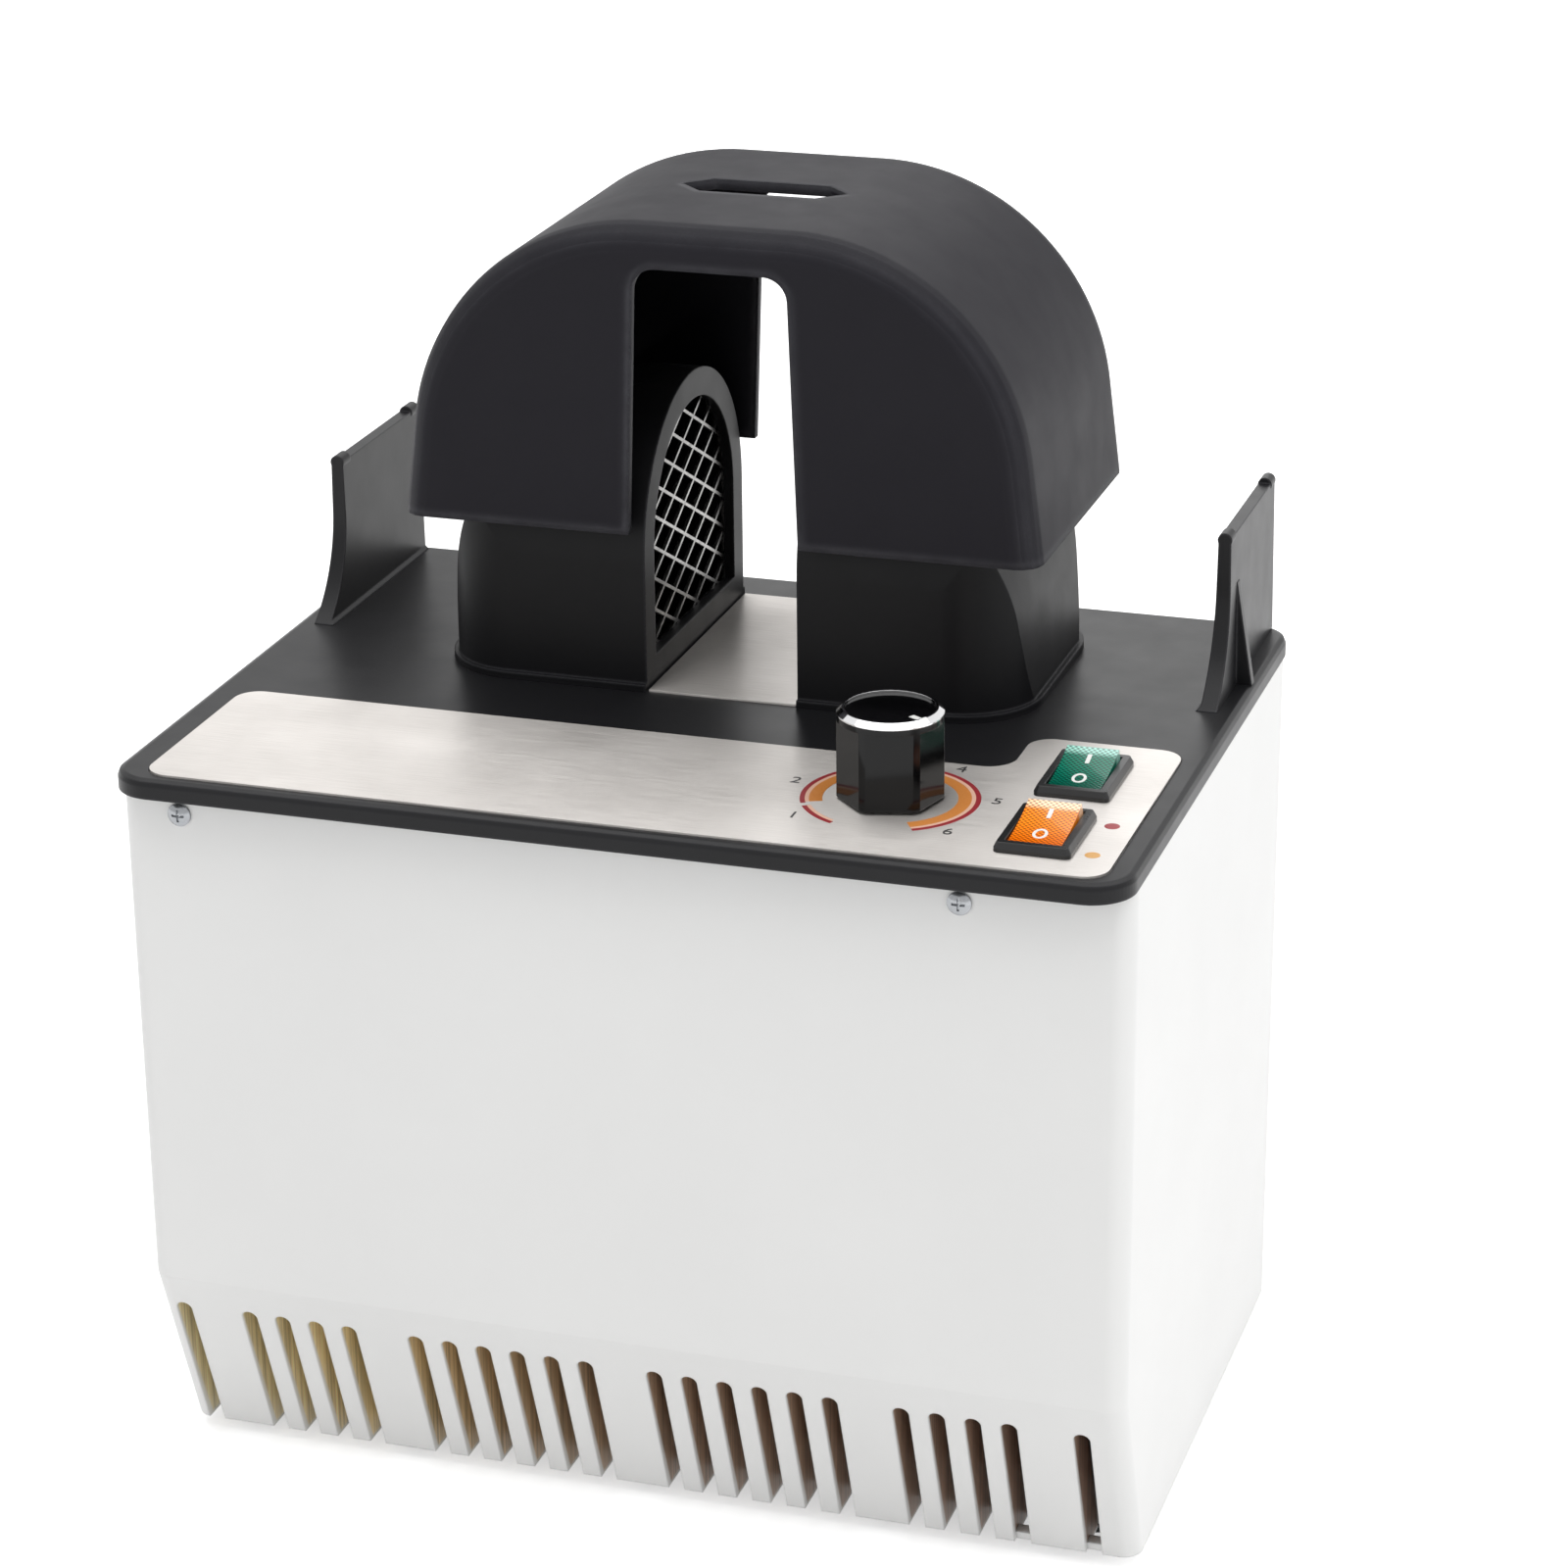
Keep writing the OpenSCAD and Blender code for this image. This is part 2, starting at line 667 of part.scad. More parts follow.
module right_grille() color("#d8d8d4") translate([0, nozzle_y, deck_top]) grille();
module left_grille() color("#d8d8d4") mirror([1, 0, 0]) translate([0, nozzle_y, deck_top]) grille();

module nozzle_screws() color("silver") for (p = nozzle_screw_places)
    translate([p[0], p[1], casing_top]) mirror([0, 0, 1]) pan_screw(screw_r, deck_t + nozzle_screw_in);

module gap_plate() color(steel) translate([0, nozzle_y, plate_z]) linear_extrude(plate_t)
    square([gap_w - 0.8, nozzle_d], center = true);

// ---------- hood ----------

// Solid arch whose front and rear edges are rounded all the way round
module hood_block() hull() for (a = [0, 22.5, 45, 67.5, 90]) {
    inset = hood_edge_r*(1 - cos(a));
    half = hood_d/2 - hood_edge_r*(1 - sin(a));
    along_y(-half, half) intersection() {
        arch(inset, 0);
        translate([-hood_w, 0]) square([2*hood_w, hood_h]);
    }
}

// A window open at the hood's bottom edge, narrower towards its round upper corners
module window_outline(w) {
    a = atan(window_taper/2/window_h);
    x = w/2 - window_taper/2 + window_r*(tan(a) - 1/cos(a));
    corner = [for (i = [0:8]) let (t = a + (90 - a)*i/8)
        [x + window_r*cos(t), window_h - window_r + window_r*sin(t)]];
    half = concat([[0, -1], [w/2 + tan(a), -1]], corner, [[0, window_h]]);
    polygon(half);
    mirror([1, 0]) polygon(half);
}

module hood() color(black) translate([0, nozzle_y, hood_z]) difference() {
    hood_block();
    along_y(-hood_d/2 + hood_wall, hood_d/2 - hood_wall) arch(hood_wall, 1);
    along_y(-hood_d, eps) window_outline(window_w);
    along_y(0, hood_d) window_outline(rear_window_w);
    translate([0, 0, hood_h - 3*hood_wall]) linear_extrude(4*hood_wall) polygon([[-grip_l/2, 0],
        [-grip_l/2 + grip_w/2, -grip_w/2], [grip_l/2 - grip_w/2, -grip_w/2], [grip_l/2, 0],
        [grip_l/2 - grip_w/2, grip_w/2], [-grip_l/2 + grip_w/2, grip_w/2]]);
}

// ---------- control plate, knob and regulator ----------

// Front strip with a rear tab at the switches, joined by a swept corner
module plate_outline(grow) {
    w = plate_w + 2*grow;
    strip_back = plate_y + plate_d/2 + grow;
    tab_left = tab_x - tab_w/2 - grow;
    tab_back = strip_back + tab_d;
    translate([plate_x, plate_y]) round_rect(w, plate_d + 2*grow, plate_r);
    translate([tab_x, tab_back - tab_d]) round_rect(tab_w + 2*grow, 2*tab_d, plate_r);
    difference() {
        translate([tab_left - sweep_r + grow, strip_back - 1])
            square([sweep_r - grow + 1, sweep_r - grow + 1]);
        translate([tab_left - sweep_r + grow, strip_back + sweep_r - grow]) circle(sweep_r - grow + 0.02);
    }
}

module control_plate() color(steel) translate([0, 0, plate_z]) linear_extrude(plate_t) difference() {
    plate_outline(0);
    for (y = [0, -switch_pitch]) translate([switch_x, switch_y + y])
        square([case_w + 0.4, case_l + 0.4], center = true);
    translate([knob_x, knob_y]) circle(bush_r + 0.2);
}

module knob() color("#151517") translate([knob_x, knob_y, knob_z]) difference() {
    union() {
        cylinder(d = knob_d, h = knob_h - ring_h);
        cylinder(d = knob_d - 2*ring_w - 0.1, h = knob_h - 0.5);
    }
    // Flats stop under a round collar
    for (i = [0:knob_panels - 1]) rotate(knob_turn + i*360/knob_panels)
        translate([knob_flat_r, -knob_d/2, -1]) cube([knob_d, knob_d, knob_h - ring_h - knob_collar + 1]);
    translate([0, 0, -1]) cylinder(d = knob_d - 6, h = 1 + knob_hollow);
    translate([0, 0, -1]) cylinder(d = shaft_d, h = knob_h - 2);
}

// Bright ring that slopes in to the cap
module knob_ring() color("#e4e4e4") translate([knob_x, knob_y, knob_z + knob_h - ring_h]) difference() {
    union() {
        cylinder(d = knob_d, h = 0.3);
        translate([0, 0, 0.3]) cylinder(d1 = knob_d, d2 = knob_d - 2*ring_w + 0.8, h = ring_h - 0.3);
    }
    translate([0, 0, -1]) cylinder(d = knob_d - 2*ring_w, h = ring_h + 2);
}

module regulator() color("#5b6472") translate([knob_x, knob_y, 0]) difference() {
    union() {
        bar(-regulator_w/2, regulator_w/2, -regulator_w/2, regulator_w/2,
            casing_top - seat - regulator_h, casing_top - seat);
        translate([0, 0, casing_top - seat - eps])
            cylinder(r = bush_r, h = bush_top - casing_top + seat + eps);
        for (i = [-1:1]) bar(i*lug_pitch - lug_w/2, i*lug_pitch + lug_w/2, -regulator_w/2 - lug_l,
            -regulator_w/2 + eps, casing_top - regulator_h/2 - lug_t, casing_top - regulator_h/2);
    }
    translate([0, 0, casing_top - seat - regulator_h + 2])
        cylinder(r = shaft_d/2 + run_gap, h = 2*regulator_h);
}

module regulator_nut() color("silver") translate([knob_x, knob_y, plate_top]) difference() {
    cylinder(r = bush_r + 2.4, h = nut_h, $fn = 6);
    translate([0, 0, -1]) cylinder(r = bush_r, h = nut_h + 2);
}

module regulator_shaft() color("silver") translate([knob_x, knob_y, shaft_bottom])
    cylinder(d = shaft_d, h = knob_z + knob_h - 3 - shaft_bottom);

// ---------- switches ----------

module switch_case() difference() {
    union() {
        translate([0, 0, plate_top]) hull() {
            linear_extrude(0.4*bezel_h) round_rect(bezel_w, bezel_l, 1.2);
            linear_extrude(bezel_h) round_rect(bezel_w - 1.2, bezel_l - 1.2, 0.8);
        }
        bar(-case_w/2, case_w/2, -case_l/2, case_l/2, plate_top - case_h, plate_top + eps);
    }
    bar(-rocker_w/2 - 0.3, rocker_w/2 + 0.3, -rocker_r - 0.4, rocker_r + 0.4,
        pivot_z - rocker_drop - 2.4, plate_top + 9);
    translate([0, 0, pivot_z]) rotate([0, 90, 0])
        cylinder(r = pin_r + run_gap, h = rocker_w + 2*pin_l + 0.2, center = true);
}

// Rocker at rest: its front end pressed down, its rear end standing up
module rocker() translate([0, 0, pivot_z]) {
    rotate([rocker_tilt, 0, 0]) along_x(-rocker_w/2, rocker_w/2) difference() {
        circle(rocker_r, $fn = 96);
        translate([0, rocker_up + dish_r]) circle(dish_r, $fn = 180);
        translate([-rocker_r, -2*rocker_r - rocker_drop]) square(2*rocker_r);
    }
    rotate([0, 90, 0]) cylinder(r = pin_r, h = rocker_w + 2*pin_l, center = true);
}

module green_switch_case() color("#161616") translate([switch_x, switch_y, 0]) switch_case();
module orange_switch_case() color("#161616") translate([switch_x, switch_y - switch_pitch, 0]) switch_case();
module green_rocker() color("#0c7a52") translate([switch_x, switch_y, 0]) rocker();
module orange_rocker() color("#f0801e") translate([switch_x, switch_y - switch_pitch, 0]) rocker();

module switch_tabs() color("#c9a24c") for (p = [0, -switch_pitch], i = [-1:1])
    translate([switch_x, switch_y + p + i*blade_pitch, plate_top - case_h - blade_l]) difference() {
        bar(-blade_w/2, blade_w/2, -blade_t/2, blade_t/2, 0, blade_l);
        translate([0, 0, blade_w/2]) rotate([90, 0, 0]) cylinder(d = blade_w/3, h = 5*blade_t, center = true);
    }

// ---------- duct and heater ----------

// Straight at the foot and at the top, with a slope between the two widths
module duct_outline(foot0, foot1, top0, top1, inset, drop) polygon([
    [foot0 + inset, -drop], [foot1 - inset, -drop], [foot1 - inset, duct_foot], [top1 - inset, duct_knee],
    [top1 - inset, duct_h + drop], [top0 + inset, duct_h + drop], [top0 + inset, duct_knee],
    [foot0 + inset, duct_foot]]);

module duct_form(inset, drop = 0) intersection() {
    along_y(-casing_d, casing_d) duct_outline(-fan_w/2, fan_w/2, -duct_x, duct_x, inset, drop);
    along_x(-casing_w, casing_w) duct_outline(fan_y - fan_w/2, fan_y + fan_w/2,
        nozzle_y - duct_y, nozzle_y + duct_y, inset, drop);
}

module duct() color("#b9bcc0") translate([0, 0, duct_z]) difference() {
    union() {
        duct_form(0);
        translate([0, nozzle_y, duct_h - duct_t]) linear_extrude(duct_t)
            square([2*(duct_x + duct_flange), 2*duct_ear], center = true);
        for (p = fan_screw_places) translate([p[0], p[1], 0]) cylinder(r = 4, h = 8);
    }
    difference() {
        duct_form(duct_t, 1);
        for (p = fan_screw_places) translate([p[0], p[1], 0]) cylinder(r = 4, h = 8);
    }
    for (p = fan_screw_places) translate([p[0], p[1], -1]) cylinder(r = screw_r, h = 8);
    for (p = duct_screw_places) translate([p[0], p[1], 0]) cylinder(r = screw_r + 0.2, h = 2*duct_h);
    translate([duct_x, nozzle_y, duct_h - cutout_drop]) rotate([0, 90, 0])
        cylinder(d = 0.75*cutout_d, h = 4, center = true);
}

module duct_screws() color("silver") for (p = duct_screw_places)
    translate([p[0], p[1], casing_top - duct_t - seat]) mirror([0, 0, 1]) pan_screw(screw_r, 3);

// Insulating frame: two long rails joined by slotted cross boards
module heater_frame() color("#c9b79a") translate([0, nozzle_y, heater_z]) {
    for (s = [-1, 1]) bar(-heater_x, heater_x, s*heater_y - 0.8, s*heater_y + 0.8, 0, heater_h);
    for (i = [-2:2]) difference() {
        bar(i*heater_x/2.2 - 0.6, i*heater_x/2.2 + 0.6, -heater_y, heater_y, 0, heater_h);
        for (j = [0:ribbon_rows - 1]) translate([i*heater_x/2.2, ribbon_at(j), heater_h/2 - ribbon_h/2 - 0.3])
            bar(-2, 2, -ribbon_t/2 - 0.3, ribbon_t/2 + 0.3, 0, heater_h);
    }
}

// One resistance ribbon that runs back and forth through the frame
module heater_ribbon() color("#8d8f94") translate([0, nozzle_y, heater_z + heater_h/2 - ribbon_h/2]) {
    for (j = [0:ribbon_rows - 1])
        bar(-heater_x + 2, heater_x - 2, ribbon_at(j) - ribbon_t/2, ribbon_at(j) + ribbon_t/2, 0, ribbon_h);
    for (j = [0:ribbon_rows - 2]) {
        end = (j % 2 == 0 ? 1 : -1)*(heater_x - 2);
        bar(end - ribbon_t/2, end + ribbon_t/2, ribbon_at(j) - ribbon_t/2, ribbon_at(j + 1) + ribbon_t/2,
            0, ribbon_h);
    }
}

// Snap disc sensor on the duct's right side, with its head in the air stream
module thermal_cutout() color("#d9c9a3") translate([duct_x, nozzle_y, duct_z + duct_h - cutout_drop])
    rotate([0, 90, 0]) {
        translate([0, 0, -duct_t - 1.5]) cylinder(d = 0.75*cutout_d - 0.4, h = duct_t + 1.5 + eps);
        cylinder(d = cutout_d, h = cutout_h);
        for (s = [-1, 1]) translate([-blade_t/2, s*cutout_d/4 - lug_w/2, cutout_h - eps])
            cube([blade_t, lug_w, lug_l]);
    }

// ---------- fan ----------

module fan_frame() color("#3a3a3d") translate([0, fan_y, fan_z]) difference() {
    union() {
        linear_extrude(fan_t) difference() {
            round_rect(fan_w, fan_w, 4);
            circle(fan_r, $fn = 96);
        }
        // Three arms carry the motor cup
        for (i = [0:2]) rotate(i*120 + 30) bar(fan_hub_r - 2, fan_r + 1, -2, 2, 0, 3);
        cylinder(r = fan_hub_r, h = 3);
    }
    for (p = fan_screw_places) translate([p[0], p[1] - fan_y, -1]) cylinder(r = screw_r + 0.3, h = fan_t + 2);
    translate([0, 0, -1]) cylinder(r = spindle_r + run_gap, h = 6);
}

module fan_screws() color("silver") for (p = fan_screw_places)
    translate([p[0], p[1], fan_z]) mirror([0, 0, 1]) pan_screw(screw_r, fan_t + 6);

module fan_motor() color("#8f7a55") translate([0, fan_y, fan_z + 3]) difference() {
    cylinder(r = fan_hub_r - 3, h = motor_h);
    translate([0, 0, -1]) cylinder(r = spindle_r + run_gap, h = motor_h + 2);
}

module fan_shaft() color("silver") translate([0, fan_y, fan_z + 1])
    cylinder(r = spindle_r, h = fan_t - 4);

// Cup that turns round the motor, with flat pitched blades
module fan_impeller() color("#2b2b2e") translate([0, fan_y, fan_z + 4]) {
    difference() {
        cylinder(r = fan_hub_r, h = fan_t - 7);
        translate([0, 0, -1]) cylinder(r = fan_hub_r - 2, h = motor_h + 2);
        cylinder(r = spindle_r, h = fan_t);
    }
    intersection() {
        difference() {
            cylinder(r = fan_r - 1.2, h = fan_t - 7);
            translate([0, 0, -1]) cylinder(r = fan_hub_r - 0.5, h = fan_t);
        }
        for (i = [0:fan_blades - 1]) rotate(i*360/fan_blades) translate([0, 0, (fan_t - 7)/2])
            rotate([36, 0, 0]) translate([0, -fan_t/2, -0.8]) cube([fan_r, fan_t, 1.6]);
    }
}

// ---------- electrics ----------

module control_board() color("#2f6b45") translate([board_x, board_y, board_z]) difference() {
    linear_extrude(board_t) square([board_w, board_d], center = true);
    for (p = board_posts_at) translate([p[0], p[1], -1]) cylinder(r = post_r/2 + 0.2, h = 2*board_t);
}

// Choke, film capacitor and heat sink standing off the board's underside
module board_parts() color("#3d4c63") translate([board_x, board_y, board_z]) mirror([0, 0, 1]) {
    translate([-board_w/4, 0, 0]) difference() {
        cylinder(d = choke_d, h = choke_h);
        translate([0, 0, -1]) cylinder(d = 0.4*choke_d, h = choke_h + 2);
    }
    translate([board_w/20, 0, 0]) bar(-film_l/2, film_l/2, -film_w/2, film_w/2, 0, film_h);
    translate([board_w/4, 0, 0]) difference() {
        bar(0, sink_w, -sink_l/2, sink_l/2, 0, sink_h);
        for (i = [-1:1]) translate([sink_w/3, i*sink_l/4, -1])
            bar(0, sink_w, -sink_l/12, sink_l/12, 0, sink_h + 2);
    }
}

module board_posts() color("#d8d8d0") for (p = board_posts_at)
    translate([board_x + p[0], board_y + p[1], board_z - post_h]) {
        cylinder(r = post_r, h = post_h);
        cylinder(r = post_r/2, h = post_h + board_t + eps);
        translate([0, 0, post_h + board_t]) cylinder(r = post_r, h = casing_top - board_z - board_t);
    }

module cord_gland() color("#1d1d1f")
    translate([gland_x, casing_d/2, gland_z]) rotate([-90, 0, 0]) difference() {
        union() {
            cylinder(r = gland_neck_r + 2.5, h = gland_out);
            translate([0, 0, -casing_wall - gland_in])
                cylinder(r = gland_neck_r - 0.1, h = casing_wall + gland_in + eps);
            translate([0, 0, -casing_wall - gland_in]) cylinder(r = gland_neck_r + 1.5, h = gland_in - seat);
        }
        translate([0, 0, -casing_wall - gland_in - 1])
            cylinder(r = gland_r, h = casing_wall + gland_in + gland_out + 2);
    }

module terminal_block() color("#e9e6da") translate([term_x, term_y, base_top]) difference() {
    bar(-term_w/2, term_w/2, -term_d/2, term_d/2, 0, term_h);
    for (i = [-1:1]) translate([i*term_pitch, 0, 0]) {
        translate([0, 0, 0.65*term_h]) cylinder(d = term_pitch/2, h = term_h);
        translate([0, 0, 0.4*term_h]) rotate([90, 0, 0])
            cylinder(d = 0.4*term_pitch, h = 2*term_d, center = true);
    }
}

casing();
base_plate();
feet();
foot_screws();
deck();
casing_screws();
left_rest();
right_rest();
left_nozzle();
right_nozzle();
left_grille();
right_grille();
nozzle_screws();
gap_plate();
hood();
control_plate();
knob();
knob_ring();
regulator();
regulator_nut();
regulator_shaft();
green_switch_case();
green_rocker();
orange_switch_case();
orange_rocker();
switch_tabs();
duct();
duct_screws();
heater_frame();
heater_ribbon();
thermal_cutout();
fan_frame();
fan_screws();
fan_motor();
fan_shaft();
fan_impeller();
control_board();
board_parts();
board_posts();
cord_gland();
terminal_block();
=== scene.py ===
"""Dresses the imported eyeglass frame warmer: a finish for every piece, the printed marks and a plain studio.

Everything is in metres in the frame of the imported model: +X to the right, +Y to the rear, +Z up.
"""

import logging
import math
from dataclasses import dataclass, field
from enum import Enum

import bmesh
import bpy
from bpy.types import Material, Mesh, Node, NodeSocket, NodeTree
from mathutils import Matrix, Vector


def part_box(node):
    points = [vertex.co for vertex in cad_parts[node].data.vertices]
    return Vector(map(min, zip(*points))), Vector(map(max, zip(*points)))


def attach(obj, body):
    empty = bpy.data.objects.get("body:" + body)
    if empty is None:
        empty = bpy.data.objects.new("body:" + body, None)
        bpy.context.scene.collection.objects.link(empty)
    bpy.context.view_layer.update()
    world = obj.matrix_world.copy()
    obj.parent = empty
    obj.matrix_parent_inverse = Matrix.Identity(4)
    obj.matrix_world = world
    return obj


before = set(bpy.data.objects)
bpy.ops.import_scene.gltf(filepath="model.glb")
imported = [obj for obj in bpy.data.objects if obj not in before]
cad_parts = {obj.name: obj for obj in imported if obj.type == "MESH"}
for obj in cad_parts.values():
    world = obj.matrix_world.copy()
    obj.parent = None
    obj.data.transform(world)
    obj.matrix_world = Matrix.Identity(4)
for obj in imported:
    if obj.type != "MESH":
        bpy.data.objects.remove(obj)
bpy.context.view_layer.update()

MM = 0.001
WHITE = (1.0, 1.0, 1.0, 1.0)
LOG = logging.getLogger("frame_warmer")


class Body(Enum):
    """The bodies that the printed marks ride on."""

    HOUSING = "housing"
    DIAL = "dial"
    GREEN = "green_button"
    ORANGE = "orange_button"


# Marks from brushing, rolling or cutting are about sixty times longer than they are wide
MARK_LENGTH = 60.0


class Run(Enum):
    """The way that such marks run: how much the pattern is squeezed along each axis."""

    ALONG_X = (1.0, MARK_LENGTH, MARK_LENGTH)
    ALONG_Y = (MARK_LENGTH, 1.0, MARK_LENGTH)
    ALONG_Z = (MARK_LENGTH, MARK_LENGTH, 1.0)


# ---------------------------------------- shading

# A noise pattern's middle value, and the band that it seldom leaves
NOISE_MIDDLE = 0.5
NOISE_BAND = {"From Min": 0.3, "From Max": 0.7}
# Inputs of a Mix node that mixes colours
MIX_A, MIX_B = 6, 7
# Rays spent on a softened edge
EDGE_RAYS = 4


def linear(code: str) -> tuple[float, float, float, float]:
    """Turns an sRGB hex colour into linear RGBA.

    Args:
        code: Six hex digits after a hash sign.

    Returns:
        Red, green, blue and an alpha of 1.
    """
    parts = [int(code[i : i + 2], 16) / 255 for i in (1, 3, 5)]
    turned = [c / 12.92 if c <= 0.04045 else ((c + 0.055) / 1.055) ** 2.4 for c in parts]
    return (turned[0], turned[1], turned[2], 1.0)


def add_node(tree: NodeTree, kind: str, values: dict | None = None, links: dict | None = None,
        **settings: object) -> Node:
    """Adds one node with its settings, input values and links.

    Args:
        tree: The tree that gets the node.
        kind: The node's Blender type, without ShaderNode in front.
        values: Input name or number, and the value it is set to.
        links: Input name or number, and the socket that feeds it, or a node whose first live output does.
        **settings: Properties of the node itself.

    Returns:
        The new node.
    """
    made = tree.nodes.new("ShaderNode" + kind)
    for name, value in settings.items():
        setattr(made, name, value)
    for name, value in (values or {}).items():
        made.inputs[name].default_value = value
    for name, source in (links or {}).items():
        if isinstance(source, Node):
            source = next(output for output in source.outputs if output.enabled)
        tree.links.new(source, made.inputs[name])
    return made


def set_ramp(ramp_node: Node, stops: list[tuple[float, str]]) -> None:
    """Sets the stops of a colour ramp.

    Args:
        ramp_node: The colour ramp node.
        stops: Position from 0 to 1 and an sRGB hex colour, in order.
    """
    elements = ramp_node.color_ramp.elements
    while len(elements) > 1:
        elements.remove(elements[-1])
    elements[0].position = stops[0][0]
    elements[0].color = linear(stops[0][1])
    for position, code in stops[1:]:
        elements.new(position).color = linear(code)


def new_tree(name: str) -> tuple[Material, NodeTree, NodeSocket]:
    """Starts a material.

    Args:
        name: The material's name.

    Returns:
        The material, its empty node tree and the place on the object.
    """
    material = bpy.data.materials.new(name)
    material.use_nodes = True
    tree = material.node_tree
    tree.nodes.clear()
    return material, tree, add_node(tree, "TexCoord").outputs["Object"]


def add_surface(tree: NodeTree, values: dict, links: dict) -> None:
    """Ends a material with its Principled shader.

    Args:
        tree: The material's tree.
        values: Input name and the value it is set to.
        links: Input name and the socket or node that feeds it.
    """
    add_node(tree, "OutputMaterial", links={"Surface": add_node(tree, "BsdfPrincipled", values, links)})


def seen_ray(tree: NodeTree) -> Node:
    """Tells the rays that look at the background, straight or by way of gloss or glass, from those that light.

    Args:
        tree: The tree that asks.

    Returns:
        A node that gives 1 for a ray that looks and 0 for one that lights.
    """
    path = add_node(tree, "LightPath")
    seen = path.outputs["Is Camera Ray"]
    for ray in ("Is Glossy Ray", "Is Transmission Ray"):
        seen = add_node(tree, "Math", links={0: seen, 1: path.outputs[ray]}, operation="MAXIMUM")
    return seen


def relief(tree: NodeTree, height: Node, depth_mm: float, edge_mm: float = 0.0, strength: float = 1.0) -> Node:
    """Gives a surface its fine relief, over edges that look softened.

    Args:
        tree: The material's tree.
        height: The pattern that stands up.
        depth_mm: How far it stands up.
        edge_mm: Radius of the softened edges, 0 for sharp ones.
        strength: Share of the relief that shows.

    Returns:
        The node that gives the normal.
    """
    links = {"Height": height}
    if edge_mm:
        links["Normal"] = add_node(tree, "Bevel", {"Radius": edge_mm * MM}, samples=EDGE_RAYS)
    return add_node(tree, "Bump", {"Strength": strength, "Distance": depth_mm * MM}, links)


@dataclass(frozen=True)
class MouldedPlastic:
    """Injection-moulded plastic with an eroded grain, softened edges, and paler edges from handling wear that on
    the hood are also a painted highlight.

    Attributes:
        name: Common name of the plastic and how it was made.
        colour: Body colour.
        shade: Colour of the slow drift that large mouldings show.
        worn_and_lit_edge: Colour that the edges take where they are handled; on the hood it is also a painted
            highlight.
        roughness: Middle roughness of the grain.
        spread: How far the roughness drifts either way.
        grain_mm: Size of the grain.
        grain_depth_mm: Depth of the grain.
        edge_mm: Radius of the softened edges.
        worn_and_lit_share: Share of that edge colour on the edges.
        ior: Index of refraction.
        specular: Specular level, 0.5 for the full reflection of the index.
        drift_mm: Size of the slow drift in tone.
        patch_mm: Size of the patches in gloss and wear.
        wear_and_highlight_reach: How far the paler edge reaches, in radii of the softened edges.
        wear_and_highlight_turn: Cosine between the softened and the true normal where the paler edge starts and
            where it is full.
    """

    name: str
    colour: str
    shade: str
    worn_and_lit_edge: str
    roughness: float
    spread: float = 0.06
    grain_mm: float = 0.6
    grain_depth_mm: float = 0.012
    edge_mm: float = 0.5
    worn_and_lit_share: float = 0.35
    ior: float = 1.54
    specular: float = 0.5
    drift_mm: float = 45.0
    patch_mm: float = 9.0
    wear_and_highlight_reach: float = 1.6
    wear_and_highlight_turn: tuple[float, float] = (0.995, 0.8)

    def build(self) -> Material:
        """Builds the material.

        Returns:
            The material, ready to give to a mesh.
        """
        material, tree, place = new_tree(self.name)

        # A mould fills unevenly, so the tone drifts over a few centimetres
        drift = add_node(tree, "TexNoise", {"Scale": 1 / (self.drift_mm * MM), "Detail": 3.0}, {"Vector": place})
        body = add_node(tree, "Mix", {MIX_A: linear(self.colour), MIX_B: linear(self.shade)}, {"Factor": drift},
            data_type="RGBA")

        # Handling polishes and pales the edges, and on the hood the paler edges are also a painted highlight:
        # edges are where a softened normal leaves the true one
        soft = add_node(tree, "Bevel", {"Radius": self.wear_and_highlight_reach * self.edge_mm * MM}, samples=EDGE_RAYS)
        flat = add_node(tree, "NewGeometry").outputs["Normal"]
        turn = add_node(tree, "VectorMath", links={0: soft, 1: flat}, operation="DOT_PRODUCT")
        edge = add_node(tree, "MapRange", {"From Min": self.wear_and_highlight_turn[0], "From Max": self.wear_and_highlight_turn[1],
            "To Min": 0.0, "To Max": 1.0}, {"Value": turn})
        patch = add_node(tree, "TexNoise", {"Scale": 1 / (self.patch_mm * MM), "Detail": 4.0}, {"Vector": place})
        worn_and_lit = add_node(tree, "Math", links={0: edge, 1: patch}, operation="MULTIPLY")
        share = add_node(tree, "Math", {1: self.worn_and_lit_share / NOISE_MIDDLE}, {0: worn_and_lit}, operation="MULTIPLY",
            use_clamp=True)
        tone = add_node(tree, "Mix", {MIX_B: linear(self.worn_and_lit_edge)}, {"Factor": share, MIX_A: body},
            data_type="RGBA")

        # The gloss drifts from patch to patch, and the grain comes from the mould's eroded or blasted walls
        gloss = add_node(tree, "MapRange", {"To Min": self.roughness - self.spread,
            "To Max": self.roughness + self.spread}, {"Value": patch})
        grain = add_node(tree, "TexNoise", {"Scale": 1 / (self.grain_mm * MM), "Detail": 2.0}, {"Vector": place})
        add_surface(tree, {"IOR": self.ior, "Specular IOR Level": self.specular},
            {"Base Color": self.tint(tree, place, tone), "Roughness": gloss,
            "Normal": relief(tree, grain, self.grain_depth_mm, self.edge_mm)})
        return material

    def tint(self, tree: NodeTree, place: NodeSocket, tone: Node) -> Node:
        """Changes the colour on some faces. Plain mouldings keep theirs.

        Args:
            tree: The material's tree.
            place: Position on the object.
            tone: The colour so far.

        Returns:
            The node that gives the final colour.
        """
        return tone


